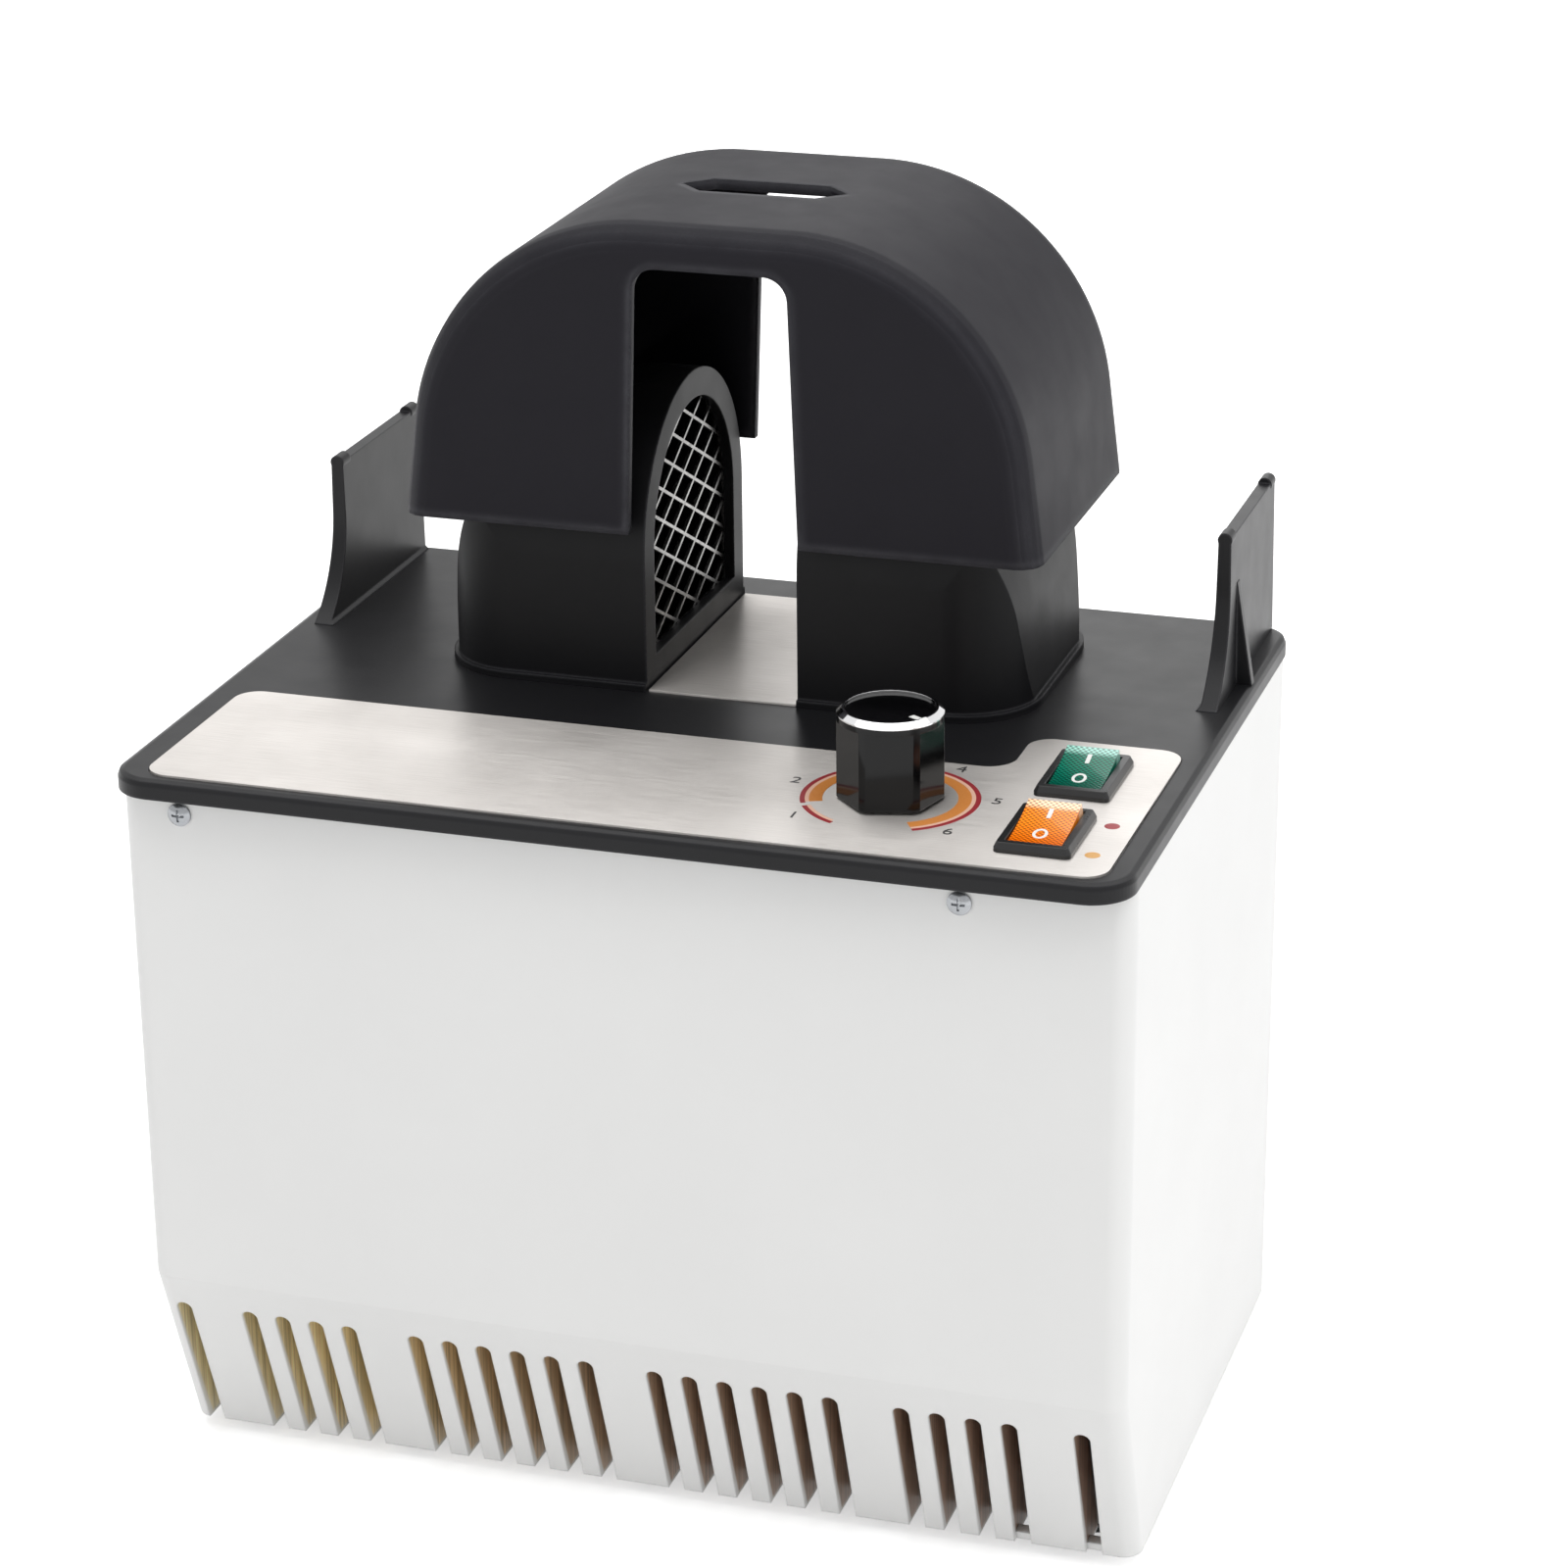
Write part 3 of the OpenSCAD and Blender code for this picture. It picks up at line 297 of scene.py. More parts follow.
@dataclass(frozen=True)
class SlotShadedCasing(MouldedPlastic):
    """White casing whose vent slots' sides are brown, with painted shade and painted bounce light on them.

    Attributes:
        slot_brown_and_shade: Brown colours on the slots' sides from the left slot to the right one, each with its
            place from 0 to 1; their darkening to the right is painted shade.
        half_mm: Half the width that the slots take up.
        top_mm: Height under which the slots lie.
        foot_mm: Height of the casing's bottom edge.
        lip_mm: How far up from that edge the slots' sides stay white.
        front_mm: The front face's y at that edge.
        slope: How far the face comes forward for each millimetre of height.
        deep_mm: How far behind the leaning face the brown ends, at the rear of the slots.
        bounce_light_mm: How far the white reaches into the slots, at their foot and at their top: painted bounce
            light, deeper at the foot.
        fade_mm: Depths, before and behind that, over which the white turns to brown: painted shade that grows
            with depth.
        steep: Steepness that a face has to stay under to count as upright.
        ahead: Share of a face's normal that may point forward or back on the sides of the slots.
        streak_mm: Width of the upright streaks in the brown.
        streak_tone: Brightness of the darkest and the palest streak.
    """

    slot_brown_and_shade: tuple[tuple[float, str], ...] = ((0.0, "#fdf0c8"), (0.2, "#f6e2b2"), (0.33, "#dfc49b"),
        (0.5, "#bda188"), (1.0, "#a98e7e"))
    half_mm: float = 99.5
    top_mm: float = 40.0
    foot_mm: float = 3.0
    lip_mm: float = 1.2
    front_mm: float = -54.0
    slope: float = 15.5 / 41.0
    deep_mm: float = 10.5
    bounce_light_mm: tuple[float, float] = (1.6, 0.4)
    fade_mm: tuple[float, float] = (-0.4, 0.6)
    steep: float = 0.9
    ahead: float = 0.5
    streak_mm: float = 0.9
    streak_tone: tuple[float, float] = (0.55, 1.3)

    def tint(self, tree: NodeTree, place: NodeSocket, tone: Node) -> Node:
        """Shows the brown, with painted shade and painted bounce light, on the sides of the slots.

        Args:
            tree: The material's tree.
            place: Position on the object.
            tone: The colour so far.

        Returns:
            The node that gives the final colour.
        """
        x, y, z = add_node(tree, "SeparateXYZ", links={"Vector": place}).outputs
        normal = add_node(tree, "NewGeometry").outputs["True Normal"]
        _, ahead, upward = add_node(tree, "SeparateXYZ", links={"Vector": normal}).outputs

        # Depth behind the leaning face, less a band of painted bounce light that reaches deeper at the foot than
        # at the top
        lean = self.slope * (self.top_mm - self.foot_mm)
        face = add_node(tree, "MapRange", {"From Min": self.foot_mm * MM, "From Max": self.top_mm * MM,
            "To Min": (self.front_mm + self.bounce_light_mm[0]) * MM,
            "To Max": (self.front_mm + self.bounce_light_mm[1] - lean) * MM}, {"Value": z})
        depth = add_node(tree, "Math", links={0: y, 1: face}, operation="SUBTRACT")
        # Painted shade: the white turns to brown with depth behind the face
        brown_and_shade_by_depth = add_node(tree, "MapRange", {"From Min": self.fade_mm[0] * MM, "From Max": self.fade_mm[1] * MM},
            {"Value": depth}, interpolation_type="SMOOTHSTEP")

        # The slots' sides stay white just above the casing's bottom edge
        lip = add_node(tree, "MapRange", {"From Min": self.foot_mm * MM,
            "From Max": (self.foot_mm + self.lip_mm) * MM}, {"Value": z}, interpolation_type="SMOOTHSTEP")
        share = add_node(tree, "Math", links={0: lip, 1: brown_and_shade_by_depth}, operation="MULTIPLY")

        # Only the slots' sides: in the slots' depth, upright, across the front, between the outer walls, low down
        for value, limit, both_ways in ((depth, self.deep_mm * MM, False), (upward, self.steep, True),
                (ahead, self.ahead, True), (x, self.half_mm * MM, True), (z, self.top_mm * MM, False)):
            if both_ways:
                value = add_node(tree, "Math", links={0: value}, operation="ABSOLUTE")
            gate = add_node(tree, "Math", {1: limit}, {0: value}, operation="LESS_THAN")
            share = add_node(tree, "Math", links={0: share, 1: gate}, operation="MULTIPLY")

        # The brown darkens from left to right, a painted shade, with upright streaks
        across = add_node(tree, "MapRange", {"From Min": -self.half_mm * MM, "From Max": self.half_mm * MM},
            {"Value": x})
        slot_brown_and_shade = add_node(tree, "ValToRGB", links={"Fac": across})
        set_ramp(slot_brown_and_shade, list(self.slot_brown_and_shade))
        drawn = add_node(tree, "Mapping", {"Scale": Run.ALONG_Z.value}, {"Vector": place})
        streaks = add_node(tree, "TexNoise", {"Scale": 1 / (MARK_LENGTH * self.streak_mm * MM), "Detail": 4.0},
            {"Vector": drawn})
        light = add_node(tree, "MapRange", {**NOISE_BAND, "To Min": self.streak_tone[0],
            "To Max": self.streak_tone[1]}, {"Value": streaks})
        streaked = add_node(tree, "VectorMath", links={0: slot_brown_and_shade, "Scale": light}, operation="SCALE")
        return add_node(tree, "Mix", links={"Factor": share, MIX_A: tone, MIX_B: streaked}, data_type="RGBA")


@dataclass(frozen=True)
class RolledMetal:
    """Metal sheet, wire or turned rod with drawn-out marks.

    Attributes:
        name: Common name of the metal and how its surface was made.
        colour: Colour of the metal.
        dull: Colour in the marks and where it has dulled.
        roughness: Middle roughness.
        run: Which way the marks run.
        mark_mm: Width of a mark.
        depth_mm: Depth of a mark.
        contrast: How far the dull colour shows, 0 to 1.
        anisotropic: Stretch of the highlight across the marks.
        cloud_mm: Size of the dull clouds.
        dulling: Sum of the marks' and the clouds' noise at which dulling starts and at which it is full.
        gloss_spread: Roughness between and in the marks, as shares of the middle one.
        edge_mm: Radius of the softened edges.
    """

    name: str
    colour: str
    dull: str
    roughness: float
    run: Run = Run.ALONG_X
    mark_mm: float = 0.35
    depth_mm: float = 0.004
    contrast: float = 0.6
    anisotropic: float = 0.0
    cloud_mm: float = 30.0
    dulling: tuple[float, float] = (0.75, 1.25)
    gloss_spread: tuple[float, float] = (0.8, 1.25)
    edge_mm: float = 0.12

    def build(self) -> Material:
        """Builds the material.

        Returns:
            The material, ready to give to a mesh.
        """
        material, tree, place = new_tree(self.name)

        # Long marks from the brush or the rolls, and wide clouds where the metal has dulled
        drawn = add_node(tree, "Mapping", {"Scale": self.run.value}, {"Vector": place})
        marks = add_node(tree, "TexNoise", {"Scale": 1 / (MARK_LENGTH * self.mark_mm * MM), "Detail": 6.0,
            "Roughness": 0.7}, {"Vector": drawn})
        cloud = add_node(tree, "TexNoise", {"Scale": 1 / (self.cloud_mm * MM), "Detail": 3.0}, {"Vector": place})
        mixed = add_node(tree, "Math", links={0: marks, 1: cloud}, operation="ADD")
        share = add_node(tree, "MapRange", {"From Min": self.dulling[0], "From Max": self.dulling[1],
            "To Min": 0.0, "To Max": self.contrast}, {"Value": mixed})
        tone = add_node(tree, "Mix", {MIX_A: linear(self.colour), MIX_B: linear(self.dull)}, {"Factor": share},
            data_type="RGBA")
        low, high = (self.roughness * part for part in self.gloss_spread)
        gloss = add_node(tree, "MapRange", {**NOISE_BAND, "To Min": low, "To Max": high}, {"Value": marks})
        links = {"Base Color": tone, "Roughness": gloss,
            "Normal": relief(tree, marks, self.depth_mm, self.edge_mm)}
        if self.anisotropic:
            # Brushing scatters light across its marks, so a highlight stretches that way
            links["Tangent"] = add_node(tree, "Tangent", direction_type="RADIAL", axis="X")
        add_surface(tree, {"Metallic": 1.0, "Anisotropic": self.anisotropic}, links)
        return material


@dataclass(frozen=True)
class TintedLens:
    """Clear tinted polycarbonate with rows of tiny prisms moulded into its back.

    Attributes:
        name: Common name of the plastic and its tint.
        deep: Colour at the pressed end.
        middle: Colour half way.
        pale: Colour at the raised end, which light shines through.
        prism_mm: Distance between the prisms.
        prism_shade: How much darker the gaps between prisms look, 0 to 1.
        prism_depth_mm: Depth of the prisms.
        prism_bump: Share of that depth that shows.
        stops: Where, from the pressed to the raised end, middle starts, middle ends and pale starts.
        ior: Index of refraction.
        roughness: Roughness of the body.
        coat: Weight and roughness of the polished skin.
        glow: Strength of the light that comes through.
        edge_mm: Radius of the softened edges.
    """

    name: str
    deep: str
    middle: str
    pale: str
    prism_mm: float = 1.1
    prism_shade: float = 0.75
    prism_depth_mm: float = 0.02
    prism_bump: float = 0.35
    stops: tuple[float, float, float] = (0.5, 0.76, 0.84)
    ior: float = 1.585
    roughness: float = 0.14
    coat: tuple[float, float] = (0.6, 0.05)
    glow: float = 0.12
    edge_mm: float = 0.35

    def build(self) -> Material:
        """Builds the material.

        Returns:
            The material, ready to give to a mesh.
        """
        material, tree, place = new_tree(self.name)
        length = add_node(tree, "SeparateXYZ", links={"Vector": place.node.outputs["Generated"]}).outputs["Y"]
        ramp = add_node(tree, "ValToRGB", links={"Fac": length})
        set_ramp(ramp, list(zip((0.0, *self.stops, 1.0),
            (self.deep, self.middle, self.middle, self.pale, self.pale))))

        # The prisms read as a chequer of lighter and darker points. Real ones are about 0.4 mm apart, too fine to
        # show in the render, so these are drawn coarser
        pitch = 2 * math.pi / (self.prism_mm * MM)
        flat = add_node(tree, "SeparateXYZ", links={"Vector": place}).outputs
        waves = [add_node(tree, "Math", links={0: add_node(tree, "Math", {1: pitch}, {0: flat[axis]},
            operation="MULTIPLY")}, operation="SINE") for axis in ("X", "Y")]
        cross = add_node(tree, "Math", links=dict(enumerate(waves)), operation="MULTIPLY")
        shade = add_node(tree, "MapRange", {"From Min": -1.0, "From Max": 1.0, "To Min": 1.0 - self.prism_shade,
            "To Max": 1.0 + self.prism_shade}, {"Value": cross})
        lit = add_node(tree, "VectorMath", links={0: ramp, "Scale": shade}, operation="SCALE")
        # Painted light: the pale raised end and the emission stand for light that shines through the lens
        add_surface(tree, {"IOR": self.ior, "Roughness": self.roughness, "Coat Weight": self.coat[0],
            "Coat Roughness": self.coat[1], "Emission Strength": self.glow}, {"Base Color": lit,
            "Emission Color": lit,
            "Normal": relief(tree, cross, self.prism_depth_mm, self.edge_mm, self.prism_bump)})
        return material


@dataclass(frozen=True)
class CellSheet:
    """Sheet whose surface breaks into cells, such as zinc spangle, mica flakes or glass cloth.

    Attributes:
        name: Common name of the sheet and how it was made.
        low: Darkest cell colour.
        high: Palest cell colour.
        cell_mm: Size of a cell.
        roughness: Roughness.
        metallic: 1 for metal, 0 otherwise.
        depth_mm: Depth of the streaks in the cells.
        streak: Size of those streaks, as a share of a cell.
        gloss_spread: Least and most roughness, as shares of the middle one.
    """

    name: str
    low: str
    high: str
    cell_mm: float
    roughness: float
    metallic: float = 0.0
    depth_mm: float = 0.02
    streak: float = 0.5
    gloss_spread: tuple[float, float] = (0.85, 1.15)

    def build(self) -> Material:
        """Builds the material.

        Returns:
            The material, ready to give to a mesh.
        """
        material, tree, place = new_tree(self.name)
        cells = add_node(tree, "TexVoronoi", {"Scale": 1 / (self.cell_mm * MM)}, {"Vector": place})
        streaks = add_node(tree, "TexNoise", {"Scale": 1 / (self.streak * self.cell_mm * MM), "Detail": 5.0},
            {"Vector": place})
        each = add_node(tree, "SeparateColor", links={"Color": cells.outputs["Color"]})
        mixed = add_node(tree, "Math", links={0: each.outputs["Red"], 1: streaks}, operation="MULTIPLY")
        tone = add_node(tree, "Mix", {MIX_A: linear(self.low), MIX_B: linear(self.high)}, {"Factor": mixed},
            data_type="RGBA")
        low, high = (self.roughness * part for part in self.gloss_spread)
        gloss = add_node(tree, "MapRange", {"To Min": low, "To Max": high}, {"Value": streaks})
        add_surface(tree, {"Metallic": self.metallic},
            {"Base Color": tone, "Roughness": gloss, "Normal": relief(tree, streaks, self.depth_mm)})
        return material


@dataclass(frozen=True)
class ScreenInk:
    """Screen-printed ink with the faint mottle of the mesh it was pressed through.

    Attributes:
        name: Colour of the ink and what it is.
        colour: Colour of a full layer.
        thin: Colour where the layer is thin.
        roughness: Roughness.
        mottle_mm: Size of the mottle.
    """

    name: str
    colour: str
    thin: str
    roughness: float = 0.38
    mottle_mm: float = 0.5

    def build(self) -> Material:
        """Builds the material.

        Returns:
            The material, ready to give to a mesh.
        """
        material, tree, place = new_tree(self.name)
        mottle = add_node(tree, "TexNoise", {"Scale": 1 / (self.mottle_mm * MM), "Detail": 3.0},
            {"Vector": place})
        tone = add_node(tree, "Mix", {MIX_A: linear(self.colour), MIX_B: linear(self.thin)}, {"Factor": mottle},
            data_type="RGBA")
        add_surface(tree, {"Roughness": self.roughness}, {"Base Color": tone})
        return material


@dataclass(frozen=True)
class FlooredStudio:
    """White studio paper whose far part fades into the background.

    Attributes:
        name: What the floor is made of.
        colour: Colour of the paper.
        near: Strength added to what is seen of the paper beside the object, so that lit paper reaches white.
        far: Strength added far from it, where the lamps fall off.
        fade: Distance in metres at which near ends and at which far starts.
        roughness: Roughness.
        specular: Specular level.
    """

    name: str
    colour: str
    near: float
    far: float
    fade: tuple[float, float] = (0.3, 1.6)
    roughness: float = 0.9
    specular: float = 0.1

    def build(self) -> Material:
        """Builds the material.

        Returns:
            The material, ready to give to the floor.
        """
        material, tree, place = new_tree(self.name)
        away = add_node(tree, "VectorMath", links={0: place}, operation="LENGTH")
        glow = add_node(tree, "MapRange", {"From Min": self.fade[0], "From Max": self.fade[1],
            "To Min": self.near, "To Max": self.far}, {"Value": away}, interpolation_type="SMOOTHSTEP")
        lift = add_node(tree, "Math", links={0: seen_ray(tree), 1: glow}, operation="MULTIPLY")
        add_surface(tree, {"Base Color": linear(self.colour), "Roughness": self.roughness,
            "Specular IOR Level": self.specular, "Emission Color": WHITE}, {"Emission Strength": lift})
        return material


Finish = MouldedPlastic | RolledMetal | TintedLens | CellSheet | ScreenInk | FlooredStudio
Wear = tuple[tuple[Finish, tuple[str, ...]], ...]

# ABS, spark-eroded mould, painted white: an even satin white, brown with painted shade on the slots' sides
WHITE_ABS = SlotShadedCasing("abs_white_moulded_slot_shade", "#ececeb", "#e6e6e5", "#f3f3f2", 0.42, grain_mm=0.5,
    grain_depth_mm=0.005, edge_mm=0.7, worn_and_lit_share=0.15)
# Steel sheet, powder-coated: white with a slight orange peel
COATED_STEEL = MouldedPlastic("steel_white_powder_coated", "#e4e4e1", "#dddddb", "#f0f0ee", 0.5, grain_mm=1.1,
    grain_depth_mm=0.01, edge_mm=0.3, worn_and_lit_share=0.2)
# Glass-filled nylon, moulded: satin black that greys at a low angle
BLACK_NYLON = MouldedPlastic("nylon_black_moulded", "#161618", "#1b1b1d", "#48484b", 0.36, grain_mm=0.55,
    grain_depth_mm=0.006, edge_mm=0.5, worn_and_lit_share=0.45, specular=0.2)
# Glass-filled nylon, moulded: the nozzles are less shiny than the deck, and their darker black is painted shade
# from the hood above them
NOZZLE_NYLON = MouldedPlastic("nylon_black_matt_shaded", "#0c0c0e", "#101012", "#3c3c40", 0.44, grain_mm=0.5,
    grain_depth_mm=0.006, edge_mm=0.6, worn_and_lit_share=0.45, specular=0.15)
# Glass-filled nylon, moulded in a sand-blasted tool: the hood is flatter than the deck, and its pale edge colour
# is handling wear and a painted highlight
HOOD_NYLON = MouldedPlastic("nylon_black_sand_blasted", "#1c1b20", "#212025", "#5c5c61", 0.5, grain_mm=0.45,
    grain_depth_mm=0.006, edge_mm=2.2, worn_and_lit_share=0.6, specular=0.1)
# Polystyrene, polished mould: deep black with sharp reflections
KNOB_STYRENE = MouldedPlastic("polystyrene_black_polished", "#050506", "#070708", "#141416", 0.12, spread=0.02,
    grain_depth_mm=0.0006, edge_mm=0.3, worn_and_lit_share=0.25, ior=1.59, specular=0.2)
# Nylon 66, moulded: the switch cases are smoother than the deck
SWITCH_NYLON = MouldedPlastic("nylon_black_switch_case", "#141415", "#19191a", "#343436", 0.28, spread=0.05,
    grain_depth_mm=0.004, edge_mm=0.25, worn_and_lit_share=0.4, specular=0.42)
# Nylon, moulded: the cord gland is a separate dull black fitting
GLAND_NYLON = MouldedPlastic("nylon_black_gland", "#19191a", "#1f1f20", "#3a3a3b", 0.45)
# Nitrile rubber, compression moulded: no sheen at all
FOOT_RUBBER = MouldedPlastic("nitrile_rubber_moulded", "#19191a", "#232324", "#3a3a39", 0.82, grain_depth_mm=0.03,
    ior=1.52, worn_and_lit_share=0.6)
# Glass-filled polyester, moulded: fan frame and blades
FAN_POLYESTER = MouldedPlastic("polyester_black_moulded", "#26262a", "#2c2c30", "#46464a", 0.48)
# Nylon 66 in its natural colour, moulded
NATURAL_NYLON = MouldedPlastic("nylon_natural_moulded", "#dcd8cb", "#d2cdbf", "#e8e5da", 0.44, worn_and_lit_share=0.2)
# Phenolic resin, compression moulded: the regulator's case and the cut-out's body
PHENOLIC = MouldedPlastic("phenolic_brown_moulded", "#3a2c22", "#443328", "#5c4939", 0.34, ior=1.63)
# Epoxy, dipped: the parts on the board
EPOXY = MouldedPlastic("epoxy_blue_dipped", "#27334a", "#2e3b56", "#46547a", 0.3, ior=1.55)
# Stainless sheet, brushed lengthways: pale streaks and a long soft highlight
BRUSHED_STAINLESS = RolledMetal("stainless_brushed", "#dbd7d3", "#bcb8b4", 0.43, mark_mm=0.2, contrast=0.8,
    anisotropic=0.8)
# Stainless sheet, slit and pulled: bright strands with a twist in their shine
EXPANDED_STAINLESS = RolledMetal("stainless_expanded", "#a5a4a2", "#5f5e5c", 0.3, Run.ALONG_Y, mark_mm=0.4,
    contrast=0.9)
# Steel, bright zinc plate: a faint blue cast
ZINC_STEEL = RolledMetal("steel_zinc_plated", "#aeb0b3", "#7c7f83", 0.18, mark_mm=0.12, depth_mm=0.002)
# Steel, ground rod
GROUND_STEEL = RolledMetal("steel_ground", "#c9c9ca", "#a9a9aa", 0.2, Run.ALONG_Z, mark_mm=0.1, depth_mm=0.002)
# ABS, chromium plated: a mirror with hardly any marks
CHROME = RolledMetal("chromium_plated", "#e9e9ea", "#dcdcdd", 0.07, mark_mm=0.5, depth_mm=0.0005, contrast=0.3)
# Brass strip, stamped
STAMPED_BRASS = RolledMetal("brass_stamped", "#d6b35c", "#a98a45", 0.28)
# Iron-chromium-aluminium ribbon, darkened by heat
HEATED_RIBBON = RolledMetal("iron_chromium_ribbon_heated", "#8d8984", "#57514d", 0.45, contrast=0.9)
# Steel can, varnished over the windings
VARNISHED_STEEL = RolledMetal("steel_varnished", "#97815a", "#6c5a3c", 0.38, Run.ALONG_Z)
# Steel sheet, hot-dip galvanised: spangle about six millimetres across
GALVANISED = CellSheet("steel_galvanised", "#9ea2a6", "#c6cacd", 6.0, 0.38, 1.0, 0.004)
# Mica board, pressed: silver-tan flakes
MICA_BOARD = CellSheet("mica_board_pressed", "#8d7b5e", "#c2b08c", 2.2, 0.42, 0.0, 0.02)
# Glass-epoxy laminate under a green solder mask
SOLDER_MASK = CellSheet("glass_epoxy_green_mask", "#1d5a34", "#2c7a48", 0.9, 0.32, 0.0, 0.01)
# Polycarbonate, tinted clear
GREEN_LENS = TintedLens("polycarbonate_green", "#034f3f", "#066b55", "#86bdae")
ORANGE_LENS = TintedLens("polycarbonate_orange", "#dc6304", "#f08318", "#fbc79c")
# Ink, screen-printed on the plate, the knob and the rockers
RED_INK = ScreenInk("ink_red", "#8e1f26", "#a5353c")
ORANGE_INK = ScreenInk("ink_orange", "#cf7c33", "#dc9450")
PEACH_INK = ScreenInk("ink_peach", "#ecb79c", "#e8c4ae")
AMBER_INK = ScreenInk("ink_amber", "#d29a4e", "#dcaa66")
BLACK_INK = ScreenInk("ink_black", "#2b2b2b", "#3c3c3c")
WHITE_INK = ScreenInk("ink_white", "#f4f4f2", "#e9e9e6", 0.3)
# Paper, rolled: the studio's plain white floor
STUDIO_PAPER = FlooredStudio("paper_white", "#f2f2f2", 0.5, 0.95)


# ---------------------------------------- meshes


@dataclass
class Workshop:
    """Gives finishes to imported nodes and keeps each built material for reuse.

    Attributes:
        built: Materials by name.
    """

    built: dict[str, Material] = field(default_factory=dict)

    def material(self, finish: Finish) -> Material:
        """Builds a finish once.

        Args:
            finish: One of the finish classes above.

        Returns:
            Its material.
        """
        if finish.name not in self.built:
            self.built[finish.name] = finish.build()
        return self.built[finish.name]

    def dress(self, finish: Finish, *nodes: str) -> None:
        """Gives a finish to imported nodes.

        Args:
            finish: One of the finish classes above.
            *nodes: Names of the nodes.
        """
        for name in nodes:
            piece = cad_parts[name]
            piece.data.materials.clear()
            piece.data.materials.append(self.material(finish))
            LOG.info("%s wears %s", name, finish.name)

    def place(self, name: str, mesh: Mesh, finish: Finish, body: Body, slot: str) -> None:
        """Adds a new piece to the scene and lets it ride on a body.

        Args:
            name: The piece's name.
            mesh: Its mesh, already in place.
            finish: One of the finish classes above.
            body: The body that carries it.
            slot: The record's material slot for the piece. Not used.
        """
        piece = bpy.data.objects.new(name, mesh)
        bpy.context.scene.collection.objects.link(piece)
        mesh.materials.clear()
        mesh.materials.append(self.material(finish))
        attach(piece, body.value)
        LOG.info("%s rides on %s in %s", name, body.value, finish.name)


def finished(work: bmesh.types.BMesh, name: str) -> Mesh:
    """Turns a closed surface's faces outwards and makes a mesh of it.

    Args:
        work: The surface. It is used up.
        name: The mesh's name.

    Returns:
        The mesh.
    """
    bmesh.ops.recalc_face_normals(work, faces=work.faces)
    mesh = bpy.data.meshes.new(name)
    work.to_mesh(mesh)
    work.free()
    return mesh


def ribbon(name: str, left: list[Vector], right: list[Vector], down: Vector,
        closed: bool = False) -> Mesh:
    """Builds a thin closed solid between two rails.

    Args:
        name: The mesh's name.
        left: Points of the first rail.
        right: As many points of the second rail.
        down: From the top face to the bottom face.
        closed: True if the rails run all the way round.

    Returns:
        The mesh.
    """
    work = bmesh.new()
    rails = [[work.verts.new(p) for p in rail]
        for rail in (left, right, [p + down for p in right], [p + down for p in left])]
    count = len(left)
    for i in range(count if closed else count - 1):
        j = (i + 1) % count
        for a in range(4):
            b = (a + 1) % 4
            work.faces.new((rails[a][i], rails[a][j], rails[b][j], rails[b][i]))
    if not closed:
        work.faces.new([rail[0] for rail in rails])
        work.faces.new([rail[-1] for rail in reversed(rails)])
    return finished(work, name)


def arc_points(centre: Vector, radius: float, start: float, end: float, steps: int) -> list[Vector]:
    """Lists points along a level arc.

    Args:
        centre: The arc's centre.
        radius: Its radius.
        start: First angle in degrees from +X.
        end: Last angle in degrees.
        steps: Number of spans.

    Returns:
        steps + 1 points.
    """
    angles = [math.radians(start + (end - start) * i / steps) for i in range(steps + 1)]
    return [centre + Vector((radius * math.cos(a), radius * math.sin(a), 0.0)) for a in angles]


def turned(name: str, profile: list[tuple[float, float]], centre: Vector, steps: int = 48) -> Mesh:
    """Turns a profile round an upright axis.

    Args:
        name: The mesh's name.
        profile: Radius and height of each point, both ends on the axis.
        centre: Foot of the axis.
        steps: Number of steps round the axis.

    Returns:
        The mesh, closed.
    """
    work = bmesh.new()
    tips = [work.verts.new(centre + Vector((0.0, 0.0, profile[i][1]))) for i in (0, -1)]
    rings = [[work.verts.new(centre + Vector((r * math.cos(a), r * math.sin(a), h)))
        for a in (2 * math.pi * k / steps for k in range(steps))] for r, h in profile[1:-1]]
    for k in range(steps):
        m = (k + 1) % steps
        work.faces.new((tips[0], rings[0][m], rings[0][k]))
        work.faces.new((tips[1], rings[-1][k], rings[-1][m]))
        for low, high in zip(rings, rings[1:]):
            work.faces.new((low[k], low[m], high[m], high[k]))
    return finished(work, name)


def numeral(text: str, size: float, depth: float, middle: Vector) -> Mesh:
    """Makes a printed numeral.

    Args:
        text: The numeral.
        size: Height of the type in metres.
        depth: Thickness of the ink.
        middle: Where the numeral's middle lies.

    Returns:
        The mesh.
    """
    curve = bpy.data.curves.new("numeral_" + text, "FONT")
    curve.body = text
    curve.size = size
    curve.extrude = depth / 2
    curve.align_x = "CENTER"
    curve.align_y = "CENTER"
    curve.resolution_u = 3
    holder = bpy.data.objects.new("numeral_holder", curve)
    bpy.context.scene.collection.objects.link(holder)
    graph = bpy.context.evaluated_depsgraph_get()
    mesh = bpy.data.meshes.new_from_object(holder.evaluated_get(graph))
    bpy.data.objects.remove(holder)
    bpy.data.curves.remove(curve)
    mesh.transform(Matrix.Translation(middle))
    return mesh


# ---------------------------------------- sub-assemblies


@dataclass
class SubAssembly:
    """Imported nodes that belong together.

    Attributes:
        wear: Each finish and the nodes that wear it.
    """

    wear: Wear = ()

    def dress(self, shop: Workshop) -> None:
        """Gives the nodes their finishes.

        Args:
            shop: Where finishes come from.
        """
        LOG.info("dressing %s", type(self).__name__)
        for finish, nodes in self.wear:
            shop.dress(finish, *nodes)


